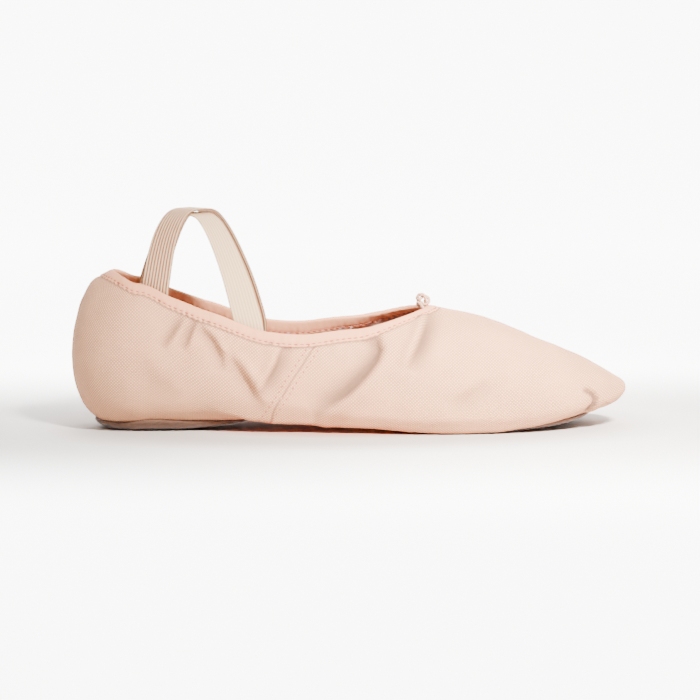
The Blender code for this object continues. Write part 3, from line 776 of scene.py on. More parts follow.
def stitch_tree():
    """Geometry Nodes: one thread float at each pitch along every line of the input mesh."""
    sizes = bpy.context.scene.shoe_sizes
    tree = bpy.data.node_groups.new("stitch_rows", "GeometryNodeTree")
    face = tree.interface
    face.new_socket("Lines", in_out="INPUT", socket_type="NodeSocketGeometry")
    for name, kind, value in (("Stitch Length", "Float", sizes.stitch_length),
                              ("Stitch Pitch", "Float", sizes.stitch_pitch),
                              ("Thread Radius", "Float", sizes.thread_radius),
                              ("Seed", "Int", STITCH_SEED)):
        socket = face.new_socket(name, in_out="INPUT", socket_type="NodeSocket" + kind)
        socket.default_value = value
    face.new_socket("Thread", in_out="INPUT", socket_type="NodeSocketMaterial")
    face.new_socket("Stitches", in_out="OUTPUT", socket_type="NodeSocketGeometry")
    given = tree.nodes.new("NodeGroupInput").outputs
    line = add(tree, "GeometryNodeMeshToCurve", {"Mesh": given["Lines"]})
    points = add(tree, "GeometryNodeResampleCurve",
                 {"Curve": line.outputs[0], "Length": given["Stitch Pitch"]}, mode="LENGTH")
    tangent = add(tree, "GeometryNodeInputTangent")
    turn = add(tree, "FunctionNodeAlignRotationToVector", {"Vector": tangent.outputs[0]}, axis="X")
    ball = add(tree, "GeometryNodeMeshUVSphere", {"Segments": 8, "Rings": 6, "Radius": 1.0})
    # Each float differs a little in length: sockets 2 and 3 are the least and the most.
    vary = add(tree, "FunctionNodeRandomValue", {"Seed": given["Seed"], 2: 0.88, 3: 1.08},
               data_type="FLOAT")
    length = math_node(tree, "MULTIPLY", math_node(tree, "MULTIPLY", given["Stitch Length"], 0.5),
                       vary.outputs[1])
    scale = add(tree, "ShaderNodeCombineXYZ",
                {"X": length, "Y": given["Thread Radius"], "Z": given["Thread Radius"]})
    floats = add(tree, "GeometryNodeInstanceOnPoints",
                 {"Points": points.outputs[0], "Instance": ball.outputs[0],
                  "Rotation": turn.outputs[0], "Scale": scale.outputs[0]})
    real = add(tree, "GeometryNodeRealizeInstances", {"Geometry": floats.outputs[0]})
    smooth = add(tree, "GeometryNodeSetShadeSmooth", {"Geometry": real.outputs[0]})
    coloured = add(tree, "GeometryNodeSetMaterial",
                   {"Geometry": smooth.outputs[0], "Material": given["Thread"]})
    out = tree.nodes.new("NodeGroupOutput")
    tree.links.new(coloured.outputs[0], out.inputs[0])
    return tree


def stitch_rows(name, rows, radius=1.0, length=1.0):
    """Rows of stitches along lines of points in the frame's metres, as one plain mesh. Radius
    and length scale the thread and its floats."""
    sizes = bpy.context.scene.shoe_sizes
    tree = bpy.data.node_groups.get("stitch_rows") or stitch_tree()
    points, edges = [], []
    for row in rows:
        start = len(points)
        points += [tuple(p) for p in row]
        edges += [(start + k, start + k + 1) for k in range(len(row) - 1)]
    lines = bpy.data.meshes.new(name + "_lines")
    lines.from_pydata(points, edges, [])
    guide = bpy.data.objects.new(name + "_lines", lines)
    bpy.context.scene.collection.objects.link(guide)
    modifier = guide.modifiers.new("stitches", "NODES")
    modifier.node_group = tree
    sockets = {item.name: item.identifier for item in tree.interface.items_tree}
    for key, value in (("Stitch Length", sizes.stitch_length * length),
                       ("Stitch Pitch", sizes.stitch_pitch),
                       ("Thread Radius", sizes.thread_radius * radius),
                       ("Seed", STITCH_SEED), ("Thread", finish_of("thread"))):
        modifier[sockets[key]] = value
    graph = bpy.context.evaluated_depsgraph_get()
    mesh = bpy.data.meshes.new_from_object(guide.evaluated_get(graph))
    bpy.data.objects.remove(guide)
    mesh.name = name
    return shown(name, mesh, [])


def surface_of(obj):
    """A tree of an object's faces, to find places on its surface with."""
    bm = bmesh.new()
    bm.from_mesh(obj.data)
    tree = BVHTree.FromBMesh(bm)
    bm.free()
    return tree


def laid_on(tree, places, direction, lift):
    """The places where rays from outside first meet a surface, lifted off it a little."""
    found = []
    direction = Vector(direction)
    for place in places:
        hit, normal, _, _ = tree.ray_cast(Vector(place) - direction * 0.3, direction)
        if hit is not None:
            if normal.dot(direction) > 0:
                normal = -normal
            found.append(hit + normal * lift)
    return found


# Pieces

def collar_foot_and_rim():
    """For each column round the shoe, the tape's foot and rim, on the outer wall."""
    half = []
    for _, widest, collar in plan_columns():
        points, reach = wall_line(widest, collar)
        half.append(at_reach(points, reach, [reach[-1] - BINDING_WIDTH, reach[-1]]))
    return ring(np.array(half))


def throat_rim():
    """The rim's place on the middle line, at the throat."""
    return collar_foot_and_rim()[len(plan_columns()) - 1][1]


def build_canvas():
    """The canvas body, outside and inside, as one closed wall."""
    rows, low_rows, tuck, inside_step = 72, 32, 1.6 * MM, 3
    half, below = [], []
    for centre, widest, collar in plan_columns():
        points, reach = wall_line(widest, collar)
        foot = reach[-1] - BINDING_WIDTH
        wanted = np.concatenate([np.linspace(0, foot, rows), [foot + tuck]])
        wall = at_reach(points, reach, wanted)
        part = np.sin(np.linspace(0, 1, low_rows, endpoint=False) * math.pi / 2)
        x, y = (centre[k] + (widest[k] - centre[k]) * part for k in (0, 1))
        lower = np.stack([x, y, lower_height(x, y)], 1)
        half.append(np.concatenate([lower, wall]))
        below.append(np.concatenate([np.full(low_rows, foot), foot - wanted]))
    grid = ring(np.array(half))
    below = np.concatenate([np.array(below), np.array(below)[1:-1][::-1]])
    normal = normals_of(grid)
    relief, painted_shade = cloth_relief(grid, below, run_of(grid[:, -1])[:, None],
                                bpy.context.scene.shoe_sizes.crease_depth)
    # The relief fades out near the floor and where the tape holds the canvas.
    fade = ramp(grid[..., 2], 2.6 * MM, 3.0 * MM)
    pinned = ramp(below, 0.0, 2.0 * MM)
    relief = relief * fade * (0.25 + 0.75 * pinned) - 0.12 * MM * (1 - pinned)
    grid = grid - np.array([0, 0, 1.0]) * sag(grid)[..., None]
    outer = grid + normal * relief[..., None]
    inner = grid - normal * WALL + normal * (0.85 * relief)[..., None]
    # The inside has every third row of points, and always the last.
    last = grid.shape[1] - 1
    inside = sorted({*range(0, last, inside_step), last}, reverse=True)
    shell = np.concatenate([outer, inner[:, inside]], axis=1)
    # The cloth's own flat measure: along the shoe, and up its wall at each place.
    x, y = grid[..., 0], np.abs(grid[..., 1])
    around = np.where(x < HEEL_CENTRE,
                      HEEL_CENTRE * (1 - np.arctan2(HEEL_CENTRE - x, y + 1e-9)), x)
    uv = np.stack([around, cloth_v(grid)], -1)
    uv = np.concatenate([uv, uv[:, inside]], axis=1)
    # The painted shade, faded out near the floor like the relief, and none on the inside.
    painted_shade = np.clip(painted_shade * 0.95, 0, 1) * fade
    painted_shade = np.concatenate([painted_shade, np.zeros((len(painted_shade), len(inside)))], axis=1)
    lined = [0] * last + [1] * (len(inside) + 1)
    return closed_piece("canvas_upper", shell, ("canvas", "lining"), "upper", "canvas",
                        loop=True, uv=uv, attributes={"painted_shade": painted_shade}, material_rows=lined)


def sag(grid):
    """How far the canvas hangs down beside the patches, just outside their edges."""
    x, y, z = grid[..., 0], grid[..., 1], grid[..., 2]
    share = section_share(x, y)
    level = np.interp(x, SAG_LEVEL[:, 0], SAG_LEVEL[:, 1])
    strength = np.interp(x, SAG_LEVEL[:, 0], SAG_LEVEL[:, 2])
    # It hangs most on the bulge beside the patches, at this share of the half width.
    band = bell(share - 0.89, 0.052)
    return np.where(z < belly(x) + 1e-9, np.maximum(0, z - level) * band * strength, 0.0)


# Places along the last, the height that the hanging canvas reaches there, and how fully
SAG_LEVEL = np.array([(0.058, 4.4 * MM, 0.0), (0.074, 4.1 * MM, 0.8), (0.090, 3.6 * MM, 1.0),
                      (0.105, 3.1 * MM, 1.0), (0.118, 2.5 * MM, 1.0), (0.130, 1.8 * MM, 1.0),
                      (0.139, 1.3 * MM, 1.0), (0.152, 0.7 * MM, 1.0), (0.165, 0.4 * MM, 1.0),
                      (0.178, 0.7 * MM, 1.0), (0.190, 2.0 * MM, 0.9), (0.200, 3.2 * MM, 0.6),
                      (0.212, 5.5 * MM, 0.0)])


def cloth_v(grid):
    """How far round its section each point lies from the bottom, in metres, at a constant
    place along the shoe, so that the cross threads run level on the side and over the vamp."""
    along = grid[..., 0]
    place = np.maximum(along, HEEL_CENTRE)
    width = np.where(along < HEEL_CENTRE, HEEL_CENTRE, np.maximum(half_width(along), 1e-5))
    share = np.clip(section_share(along, grid[..., 1]), 0, 1)
    rise = np.maximum(ridge(place) - belly(place), 1e-6)
    height = np.clip((grid[..., 2] - belly(place)) / rise, 0, 1)
    power = fullness(place)
    # The turn round the section, from none on the ridge to a quarter at the widest line. Low
    # down it is read from the height, and high up from the share of the half width.
    turn = np.where(height < 0.6, np.arccos(height ** (power / 2)),
                    np.arcsin(share ** (power / 2)))
    stops = np.linspace(0, math.pi / 2, 90)
    value = np.zeros_like(along)
    outer = np.stack([width, np.zeros_like(width)], -1)
    for low, high in zip(stops[-2::-1], stops[:0:-1]):
        reach = math.sin(low) ** (2 / power)
        inner = np.stack([width * reach, rise * arch(reach, power)], -1)
        part = np.clip((high - turn) / (high - low), 0, 1)
        value += part * np.linalg.norm(inner - outer, axis=-1)
        outer = inner
    down = (1 - share) * width + (belly(place) - grid[..., 2])
    # The measure at the widest line: enough that it stays above nought down to the bottom
    level = 0.06
    return np.where(grid[..., 2] >= belly(place), level + value, level - down)


# The tape's stitches: how far up it they run, as a share of its width, and how far out from
# its middle; and how much its far rim stands above the near one
SEWN_SHARE = 0.20
SEWN_LIFT = BINDING_THICKNESS / 2 - 0.20 * MM
FAR_RIM_LIFT = 0.9 * MM


def tape_lines():
    """The tape round the collar, at close steps: its rim, the middle of its sewn foot, and the
    ways up from there to the rim and outwards."""
    coarse = collar_foot_and_rim()
    finer = 3
    at = np.arange(len(coarse) * finer) / finer
    loop = np.concatenate([coarse, coarse[:1]])
    known = np.arange(len(loop))
    foot, rim = (np.stack([np.interp(at, known, loop[:, i, j]) for j in range(3)], 1)
                 for i in (0, 1))
    stands = np.interp(rim[:, 0], (0.045, 0.080, 0.120, 0.145), (0.0, 1.0, 1.0, 0.0))
    rim[:, 2] += FAR_RIM_LIFT * stands * (rim[:, 1] > 0)
    up = rim - foot
    outward = unit(np.cross(np.roll(rim, -1, axis=0) - np.roll(rim, 1, axis=0), up))
    return rim, foot - outward * WALL / 2, up, outward


def build_binding():
    """The folded tape round the collar, gathered a little by the cord in it."""
    rim, middle, up, outward = tape_lines()
    steps = np.linspace(0, 2 * math.pi, 30, endpoint=False)
    # Across the tape: a flat-sided loop, thin at its sewn foot and full at its rolled rim.
    height = 0.5 - 0.5 * np.sign(np.cos(steps)) * np.abs(np.cos(steps)) ** 0.72
    bulge = np.sign(np.sin(steps)) * np.abs(np.sin(steps)) ** 0.42
    distance = run_of(rim)
    sewn_at = middle + up * SEWN_SHARE + outward * SEWN_LIFT
    sewn_run = run_of(np.concatenate([sewn_at, sewn_at[:1]]))
    turns = int(sewn_run[-1] / bpy.context.scene.shoe_sizes.stitch_pitch) / sewn_run[-1]
    phase = 2 * math.pi * turns * sewn_run[:-1]
    # Between its stitches the tape's edge stands out in small scallops.
    scallop = -np.cos(phase) * (1 + 0.35 * np.sin(0.37 * phase) + 0.25 * np.sin(0.113 * phase))
    # Most at the heel and by the throat, where the cord gathers the tape, and least between.
    scallop *= np.interp(rim[:, 0], (0.02, 0.06, 0.08, 0.115, 0.13), (0.9, 0.9, 0.3, 0.3, 0.7))
    grid = np.zeros((len(rim), len(steps), 3))
    reach = np.zeros((len(rim), len(steps), 2))
    for k, (h, b) in enumerate(zip(height, bulge)):
        low = math.exp(-(h / 0.30) ** 2)
        point = middle + up * (h * 0.985 - 0.045 * low * scallop)[:, None]
        x, y, z = point[:, 0], point[:, 1], point[:, 2]
        pucker = 0.10 * MM * ripple(x * 2.2, y * 2.2, z * 0.6, 6.5 * MM, 21 if b > 0 else 23)
        soft = 0.05 * MM * ripple(x, y, z, 9 * MM, 29)
        sewn = -0.30 * MM * math.exp(-((h - SEWN_SHARE) / 0.07) ** 2)
        uneven = (pucker + soft) * (1 - 0.5 * h) + sewn + 0.20 * MM * low * scallop
        inner_swell = 1.0 if b > 0 else 1.12
        out = (b * BINDING_THICKNESS / 2 * inner_swell
               + np.sign(b) * uneven * min(1.0, abs(b) * 1.5))
        grid[:, k] = point + outward * out[:, None]
        reach[:, k, 0] = distance
        reach[:, k, 1] = h * BINDING_WIDTH * (1 if b >= 0 else -1)
    return closed_piece("collar_tape", grid, ("tape",), "collar_binding", "tape", merge=0,
                        loop=True, closed=True, uv=reach)


def under_normal(along, side):
    """The outward direction of the canvas's underside at a plan point."""
    step = 1e-5
    slope_x = (lower_height(along + step, side) - lower_height(along - step, side)) / (2 * step)
    slope_y = (lower_height(along, side + step) - lower_height(along, side - step)) / (2 * step)
    return unit(np.stack([slope_x, slope_y, -np.ones_like(slope_x)], -1))


# The patches and pads: start and end along the last, half width, place of the widest point
PATCHES = {
    "sole_heel": (0.040 * LENGTH, 0.335 * LENGTH, 0.36 * HEEL_WIDTH, 0.40),
    "sole_forefoot": (0.520 * LENGTH, 0.935 * LENGTH, 0.40 * BALL_WIDTH, 0.42),
    "insole_heel": (0.050 * LENGTH, 0.320 * LENGTH, 0.36 * HEEL_WIDTH, 0.40),
    "insole_forefoot": (0.510 * LENGTH, 0.925 * LENGTH, 0.41 * BALL_WIDTH, 0.42),
}


def patch_outline(patch, steps, inset=0.0):
    """A line round a patch, set in from its edge, as plan points."""
    start, end, widest_width, widest = patch
    share = (1 - np.cos(np.linspace(0, math.pi, steps))) / 2
    along = start + inset + (end - start - 2 * inset) * share
    back = arch(1 - np.minimum(share, widest) / widest, 2.2)
    front = arch((np.maximum(share, widest) - widest) / (1 - widest), 2.2)
    width = np.maximum(0, widest_width - inset) * np.where(share < widest, back, front)
    one_side = np.stack([along, -width], 1)
    return np.concatenate([one_side, (one_side * np.array([1, -1]))[1:-1][::-1]])


def build_patch(node, name, finish, slot, depth, thickness, edge, swell, nap):
    """A patch or pad that follows the canvas's underside: thinned at its edge, and full or
    flat within it."""
    patch = PATCHES[node]
    rings, steps = 26, 76
    reach = 1 - (1 - np.linspace(0, 1, rings)) ** 1.6
    outline = patch_outline(patch, steps)
    # Its rings close in from the outline to a short spine on the middle line.
    spine = np.stack([np.clip(outline[:, 0], patch[0] + patch[2], patch[1] - patch[2]),
                      np.zeros(len(outline))], 1)
    plan = spine[:, None] + (outline - spine)[:, None] * reach[None, :, None]
    x, y = plan[..., 0], plan[..., 1]
    base = np.stack([x, y, lower_height(x, y)], -1)
    normal = under_normal(x, y)
    from_edge = np.linalg.norm(outline - spine, axis=1)[:, None] * (1 - reach)[None]
    skived = np.sqrt(np.clip(1 - (1 - np.clip(from_edge / edge, 0, 1)) ** 2, 0, 1))
    uneven = nap * ripple(x, y, np.zeros_like(x), 7 * MM, 41)
    # Its edge is a quarter as thick as its middle.
    full = depth + thickness * (0.25 + 0.75 * skived) + uneven * skived
    outer = base + normal * full[..., None]
    inner = base + normal * (depth - swell * skived)[..., None]
    outer[..., 2] = np.maximum(outer[..., 2], 0.0)
    shell = np.concatenate([inner, outer[:, ::-1]], axis=1)
    uv = np.concatenate([plan, plan[:, ::-1]], axis=1)
    return closed_piece(name, shell, (finish,), node, slot, merge=2e-6, loop=True, uv=uv)


def build_soles():
    """The two suede patches."""
    for node, name in (("sole_heel", "heel_suede"), ("sole_forefoot", "forefoot_suede")):
        build_patch(node, name, "suede", "suede", depth=CLEARANCE, thickness=SOLE_THICKNESS,
                    edge=4.5 * MM, swell=0.0, nap=0.03 * MM)


def build_insoles():
    """The two lining pads, sewn down at their edges."""
    for node, name in (("insole_heel", "heel_pad"), ("insole_forefoot", "forefoot_pad")):
        pad = build_patch(node, name, "lining", "lining",
                          depth=-(WALL + CLEARANCE + INSOLE_THICKNESS),
                          thickness=INSOLE_THICKNESS, edge=2.4 * MM, swell=0.25 * MM, nap=0.0)


def collar_foot(along, sign, below):
    """A point on a strap's tail inside the collar, at a distance below the rim."""
    points, reach = wall_line(np.array([along, -float(half_width(along))]),
                              np.array([along, -float(mouth_half_width(along))]))
    low, high = at_reach(points, reach, reach[-1] - below + np.array([-4e-4, 1e-6]))
    up = unit(high - low)
    outward = np.array([0.0, -up[2], up[1]])
    inset = WALL / 2 + BINDING_THICKNESS / 2 + STRAP_SET_IN + STRAP_THICKNESS / 2
    place = high - outward * inset
    return np.array([place[0], -sign * place[1], place[2]])


# How a strap rises from its rim to the crown: (share of the way across, share of the rise) rows
STEEP_RISE = ((0.07, 0.20), (0.15, 0.41), (0.25, 0.61), (0.39, 0.79), (0.57, 0.93),
              (0.78, 0.995))
SLANTED_RISE = ((0.08, 0.17), (0.20, 0.39), (0.33, 0.58), (0.48, 0.77), (0.64, 0.92),
                (0.79, 0.995))
# Name, CAD node, near place, far place and crown along the last, lift at the crown, the rises
# of both sides, and how deep the ribs and the painted shade in their grooves show: the strap on
# top is stretched, and its ribs stand apart
STRAPS = (
    ("elastic_over", "strap_over", 0.147 * LENGTH, 0.325 * LENGTH, 0.213 * LENGTH,
     STRAP_THICKNESS + 3 * CLEARANCE, STEEP_RISE, SLANTED_RISE, 1.0),
    ("elastic_under", "strap_under", 0.315 * LENGTH, 0.142 * LENGTH, 0.213 * LENGTH,
     0.0, SLANTED_RISE, SLANTED_RISE, 0.35),
)


def strap_points(near, far, crown, lift, near_rise, far_rise):
    """Points down the middle of a strap, from its tail in the near side to the far one's."""
    top = np.array([crown, 0.0, STRAP_RISE + lift])
    halves = []
    for along, sign, rise in ((near, -1, near_rise), (far, 1, far_rise)):
        rim = collar_foot(along, sign, 0.0)
        points = [collar_foot(along, sign, STRAP_TAIL * k / 2) for k in (2, 1)] + [rim]
        for across, up in rise:
            flat = rim + (top - rim) * across
            points.append(np.array([flat[0], flat[1], rim[2] + (top[2] - rim[2]) * up]))
        halves.append(points)
    return np.array(halves[0] + [top] + halves[1][::-1])


def spline_through(points, steps):
    """A smooth line through points, with steps between each two."""
    padded = np.concatenate([points[:1], points, points[-1:]])
    t = np.linspace(0, 1, steps, endpoint=False)[:, None]
    found = [hermite(t, a, b, (b - before) / 2, (after - a) / 2)
             for before, a, b, after in zip(padded, padded[1:], padded[2:], padded[3:])]
    return np.concatenate(found + [points[-1:]])


def collar_way(along, sign):
    """The collar's direction where a strap leaves it, over most of the strap's width."""
    step = 0.4 * STRAP_WIDTH
    return unit(collar_foot(along + step, sign, 0.0) - collar_foot(along - step, sign, 0.0))


def both_faces(front, back):
    """Values across one face of a ribbon and back over the other, with each edge once."""
    return np.concatenate([front, back[::-1][1:-1]])


def build_strap(name, node, near, far, *shape, ribbing):
    """A flat elastic ribbon with ribs along both faces."""
    sizes = bpy.context.scene.shoe_sizes
    points = spline_through(strap_points(near, far, *shape), 14)
    # A light smoothing takes the spline's small waves out of the free part.
    for _ in range(30):
        points[1:-1] = 0.5 * points[1:-1] + 0.25 * (points[:-2] + points[2:])
    heading = points[-1] - points[0]
    across = unit(np.array([heading[1], -heading[0], 0.0]))
    share = np.linspace(0, 1, len(points))[:, None]
    tangent = unit(np.gradient(points, axis=0))
    # Its width lies along the collar at each end, and turns square to its heading between.
    turn = np.sin(math.pi * share) ** 2
    end = np.where(share < 0.5, collar_way(near, -1), collar_way(far, 1))
    width = end * (1 - turn) + across * turn
    width = unit(width - tangent * np.sum(width * tangent, axis=1, keepdims=True))
    face = np.cross(tangent, width)
    # Round the ribbon: across one face, round the edge and back over the other.
    u = np.linspace(-1, 1, 10 * sizes.ribs)
    groove = np.minimum(1, 1.15 * (0.5 - 0.5 * np.cos(u * math.pi * sizes.ribs)) ** 0.85)
    body = STRAP_THICKNESS / 2 * np.clip(1 - np.abs(u) ** 14, 0, 1) ** 0.5
    half_thick = np.maximum(body - sizes.rib_depth * groove * ribbing, 0.0)
    lane = both_faces(u * STRAP_WIDTH / 2, u * STRAP_WIDTH / 2)
    rise = both_faces(half_thick, -half_thick)
    # Painted shade in the grooves between the ribs, as deep as the ribs show.
    painted_darkness = both_faces(groove, groove) * ribbing
    grid = (points[:, None] + width[:, None] * lane[None, :, None]
            + face[:, None] * rise[None, :, None])
    uv = np.stack(np.broadcast_arrays(lane[None], run_of(points)[:, None]), -1)
    grid, uv = with_caps(points, grid), np.concatenate([uv[:1], uv, uv[-1:]])
    painted_darkness = np.broadcast_to(painted_darkness[None], grid.shape[:2])
    return closed_piece(name, grid, ("elastic",), node, "elastic", loop=False, closed=True,
                        uv=uv, attributes={"groove": painted_darkness})


def build_straps():
    """The two elastic straps."""
    for *strap, ribbing in STRAPS:
        build_strap(*strap, ribbing=ribbing)


def with_caps(middle, grid):
    """A grid of rings round a line, closed to the line's first and last point."""
    first, last = (np.repeat(middle[k][None, None], grid.shape[1], 1) for k in (0, -1))
    return np.concatenate([first, grid, last])


def knot_points():
    """The drawstring's path at the throat, as the solid model has it."""
    rim = throat_rim()
    ring_radius, winding = 1.75 * CORD_DIAMETER, 0.72 * CORD_DIAMETER
    t = 0.30 + (2 * math.pi - 0.60) * np.linspace(0, 1, 177) - math.pi / 2
    reach = ring_radius + winding * np.cos(3 * t + math.pi)
    knot = np.stack([reach * np.cos(2 * t), winding * np.sin(3 * t + math.pi),
                     reach * np.sin(2 * t)], 1)
    seat = rim[2] - WALL / 2 + CORD_DIAMETER / 2
    return knot + np.array([rim[0] - CORD_DIAMETER, 0.0, seat - knot[:, 2].min()])


def cord_end(start, way, place):
    """The cord's run from the knot, starting in the given way, down into the tape."""
    t = np.linspace(0, 1, 14)[1:, None]
    leave = start + way * 1.6 * MM
    enter = place + np.array([-0.2 * MM, 0.1 * place[1], 1.9 * MM])
    return ((1 - t)**3 * start + 3 * (1 - t)**2 * t * leave + 3 * (1 - t) * t**2 * enter
            + t**3 * place)


def build_cord():
    """The knotted end of the drawstring: two plies twisted round each other, which stand out
    a little from the cord's own thickness."""
    knot = knot_points()
    ends = [cord_end(start, unit(start - near),
                     throat_rim() + np.array([-0.9 * MM, side * 3.4 * MM, -1.2 * MM]))
            for start, near, side in ((knot[0], knot[1], -1), (knot[-1], knot[-2], 1))]
    path = np.concatenate([ends[0][::-1], knot, ends[1]])
    tangent = unit(np.gradient(path, axis=0))
    normal = unit(np.cross(tangent, [0.1, 1.0, 0.2]))
    side = np.cross(tangent, normal)
    length = run_of(path)
    angle = np.linspace(0, 2 * math.pi, 16, endpoint=False)
    # The two plies wind once round each other in this length.
    lay = 2 * math.pi * 0.55 * MM
    twist = angle - 2 * math.pi * length[:, None] / lay
    radius = CORD_DIAMETER / 2 * (1.20 - 0.10 * np.cos(2 * twist))
    grid = (path[:, None] + normal[:, None] * (radius * np.cos(angle))[..., None]
            + side[:, None] * (radius * np.sin(angle))[..., None])
    cord = closed_piece("drawstring_knot", with_caps(path, grid), ("cord",), "drawstring",
                        "cord", loop=False, closed=True)
    return cord


# How far the thread's middle lies off the canvas: on the sides, and up the heel, where it is
# pulled in deeper and hardly breaks the shoe's edge
SIDE_THREAD_LIFT = 0.14 * MM
HEEL_THREAD_LIFT = -0.10 * MM


def tape_rows():
    """Lines for the stitches round the tape, outside and inside."""
    _, middle, up, outward = tape_lines()
    sewn = middle + up * SEWN_SHARE
    rows = sewn + outward * SEWN_LIFT, sewn - outward * (SEWN_LIFT * 1.1)
    return [to_frame(np.concatenate([row, row[:1]])) for row in rows]


def seam_rows():
    """Lines for the stitches along the side seams and up the heel, laid on the canvas."""
    canvas = surface_of(bpy.data.objects["canvas_upper"])
    shifts = (-SEAM_ALLOWANCE, SEAM_ALLOWANCE)
    line = spline_through(np.array([(x, 0.0, z) for x, z in SIDE_SEAM[1:]]), 12)
    across = np.cross(unit(np.gradient(line, axis=0)), (0, -1, 0))
    rows = [laid_on(canvas, to_frame(line + across * shift), (0, side, 0), SIDE_THREAD_LIFT)
            for shift in shifts for side in (1, -1)]
    heights = np.linspace(3.5 * MM, 0.93 * HEEL_HEIGHT, 60)
    for shift in shifts:
        line = [(-LENGTH / 2, shift, z) for z in heights]
        rows.append(laid_on(canvas, line, (1, 0, 0), HEEL_THREAD_LIFT))
    return [row for row in rows if len(row) > 3]


def sole_rows():
    """Lines for the stitches round both suede patches."""
    rows = []
    for node in ("sole_heel", "sole_forefoot"):
        loop = patch_outline(PATCHES[node], 120, inset=3.6 * MM)
        x, y = np.concatenate([loop, loop[:1]]).T
        base = np.stack([x, y, lower_height(x, y)], 1)
        out = base + under_normal(x, y) * (CLEARANCE + 0.93 * SOLE_THICKNESS)
        out[:, 2] = np.maximum(out[:, 2], 0.2 * MM)
        rows.append(to_frame(out))
    return rows


def build_stitches():
    """Every row of stitches on the shoe."""
    stitch_rows("tape_stitches", tape_rows())
    stitch_rows("seam_stitches", seam_rows(), radius=1.1, length=0.55)
    stitch_rows("sole_stitches", sole_rows(), radius=0.8)


# Studio

def far_out(tree, place, stretch):
    """How far a place lies from the middle of the floor, with its sides stretched."""
    stretched = add(tree, "ShaderNodeVectorMath", {0: place, 1: stretch}, operation="MULTIPLY")
    return add(tree, "ShaderNodeVectorMath", {0: stretched.outputs[0]},
               operation="LENGTH").outputs["Value"]


def paper_material():
    """Seamless paper: matt, lit from itself away from the shoe so that it stays clean and pale,
    and greyer close round the shoe, where it would throw too much light back on the canvas. The
    grey round the shoe and the reddish tone right under it are a painted shadow."""
    pale = linear("F7F6F5")
    paper, tree, shader = new_material("seamless_paper", Roughness=0.9,
                                       Emission_Color=(1.0, 0.99, 0.98))
    place = object_place(tree)
    soft = {"interpolation_type": "SMOOTHSTEP"}
    # Painted shadow: reddish right under the shoe, grey round it, and pale further out.
    distance = far_out(tree, place, (1.0, 1.7, 1.0))
    near = map_range(tree, distance, 0.09, 0.155, **soft)
    under = map_range(tree, distance, 0.050, 0.078, **soft)
    painted_floor_shadow = mix_colours(tree, under, linear("B98D7F"), linear("BDB5B0"))
    tree.links.new(mix_colours(tree, near, painted_floor_shadow, pale), shader.inputs["Base Color"])
    # The glow starts further out at the heel and the toe, so that it leaves them in half light.
    glow = map_range(tree, far_out(tree, place, (0.65, 1.7, 1.0)), 0.10, 0.38, 0.0, 8.0, **soft)
    # It is full where the camera looks, and weak to both sides, so that it lights no edge.
    parts = add(tree, "ShaderNodeSeparateXYZ", {0: place})
    widening = math_node(tree, "MULTIPLY", parts.outputs[1], 0.17)
    sideways = math_node(tree, "ABSOLUTE", parts.outputs[0])
    strip = map_range(tree, math_node(tree, "SUBTRACT", sideways, widening),
                      0.18, 0.40, 1.0, 0.22, **soft)
    tree.links.new(math_node(tree, "MULTIPLY", glow, strip), shader.inputs["Emission Strength"])
    return paper


def build_floor():
    """A pale floor that sweeps up behind."""
    half_wide, front, sweep_start, sweep, top = 3.5, -3.0, 0.9, 0.6, 3.0
    profile = [(front, 0.0), (sweep_start, 0.0)]
    profile += [(sweep_start + sweep * math.sin(a), sweep - sweep * math.cos(a))
                for a in np.linspace(0, math.pi / 2, 13)[1:]]
    profile += [(sweep_start + sweep, top)]
    bm = bmesh.new()
    left, right = ([bm.verts.new((x, y, z)) for y, z in profile] for x in (-half_wide, half_wide))
    for k in range(len(profile) - 1):
        bm.faces.new([left[k], right[k], right[k + 1], left[k + 1]])
    mesh = bpy.data.meshes.new("studio_floor")
    bm.to_mesh(mesh)
    bm.free()
    mesh.shade_smooth()
    mesh.materials.append(paper_material())
    floor = bpy.data.objects.new("studio_floor", mesh)
    bpy.context.scene.collection.objects.link(floor)


# A soft key from above and the toe's side, kept narrow so that the heel falls into half light,
# and a weak top light behind it: name, place, aim, size, spread in degrees, power and colour
LAMPS = (
    ("key", (0.24, -0.53, 0.58), (0.055, -0.02, 0.03), 0.17, 31.0, 1.65, (1.0, 0.94, 0.87)),
    ("top", (0.05, 0.25, 0.90), (0.03, 0.0, 0.03), 0.40, 60.0, 0.5, (1.0, 0.97, 0.94)),
)


def placed(name, data, place, way):
    """A lamp or a camera in the scene, looking a given way."""
    obj = bpy.data.objects.new(name, data)
    obj.location = place
    obj.rotation_mode = "QUATERNION"
    obj.rotation_quaternion = way.to_track_quat("-Z", "Y")
    bpy.context.scene.collection.objects.link(obj)
    return obj


def build_lights():
    """The lamps, and a weak light from all round."""
    world = bpy.data.worlds.new("studio")
    world.use_nodes = True
    background = world.node_tree.nodes["Background"]
    background.inputs["Color"].default_value = (1.0, 0.97, 0.94, 1.0)
    background.inputs["Strength"].default_value = 0.18
    bpy.context.scene.world = world
    for name, place, aim, size, spread_angle, power, colour in LAMPS:
        light = bpy.data.lights.new(name, "AREA")
        light.shape = "DISK"
        light.size = size
        light.spread = math.radians(spread_angle)
        light.energy = power
        light.color = colour
        placed(name, light, place, Vector(aim) - Vector(place))


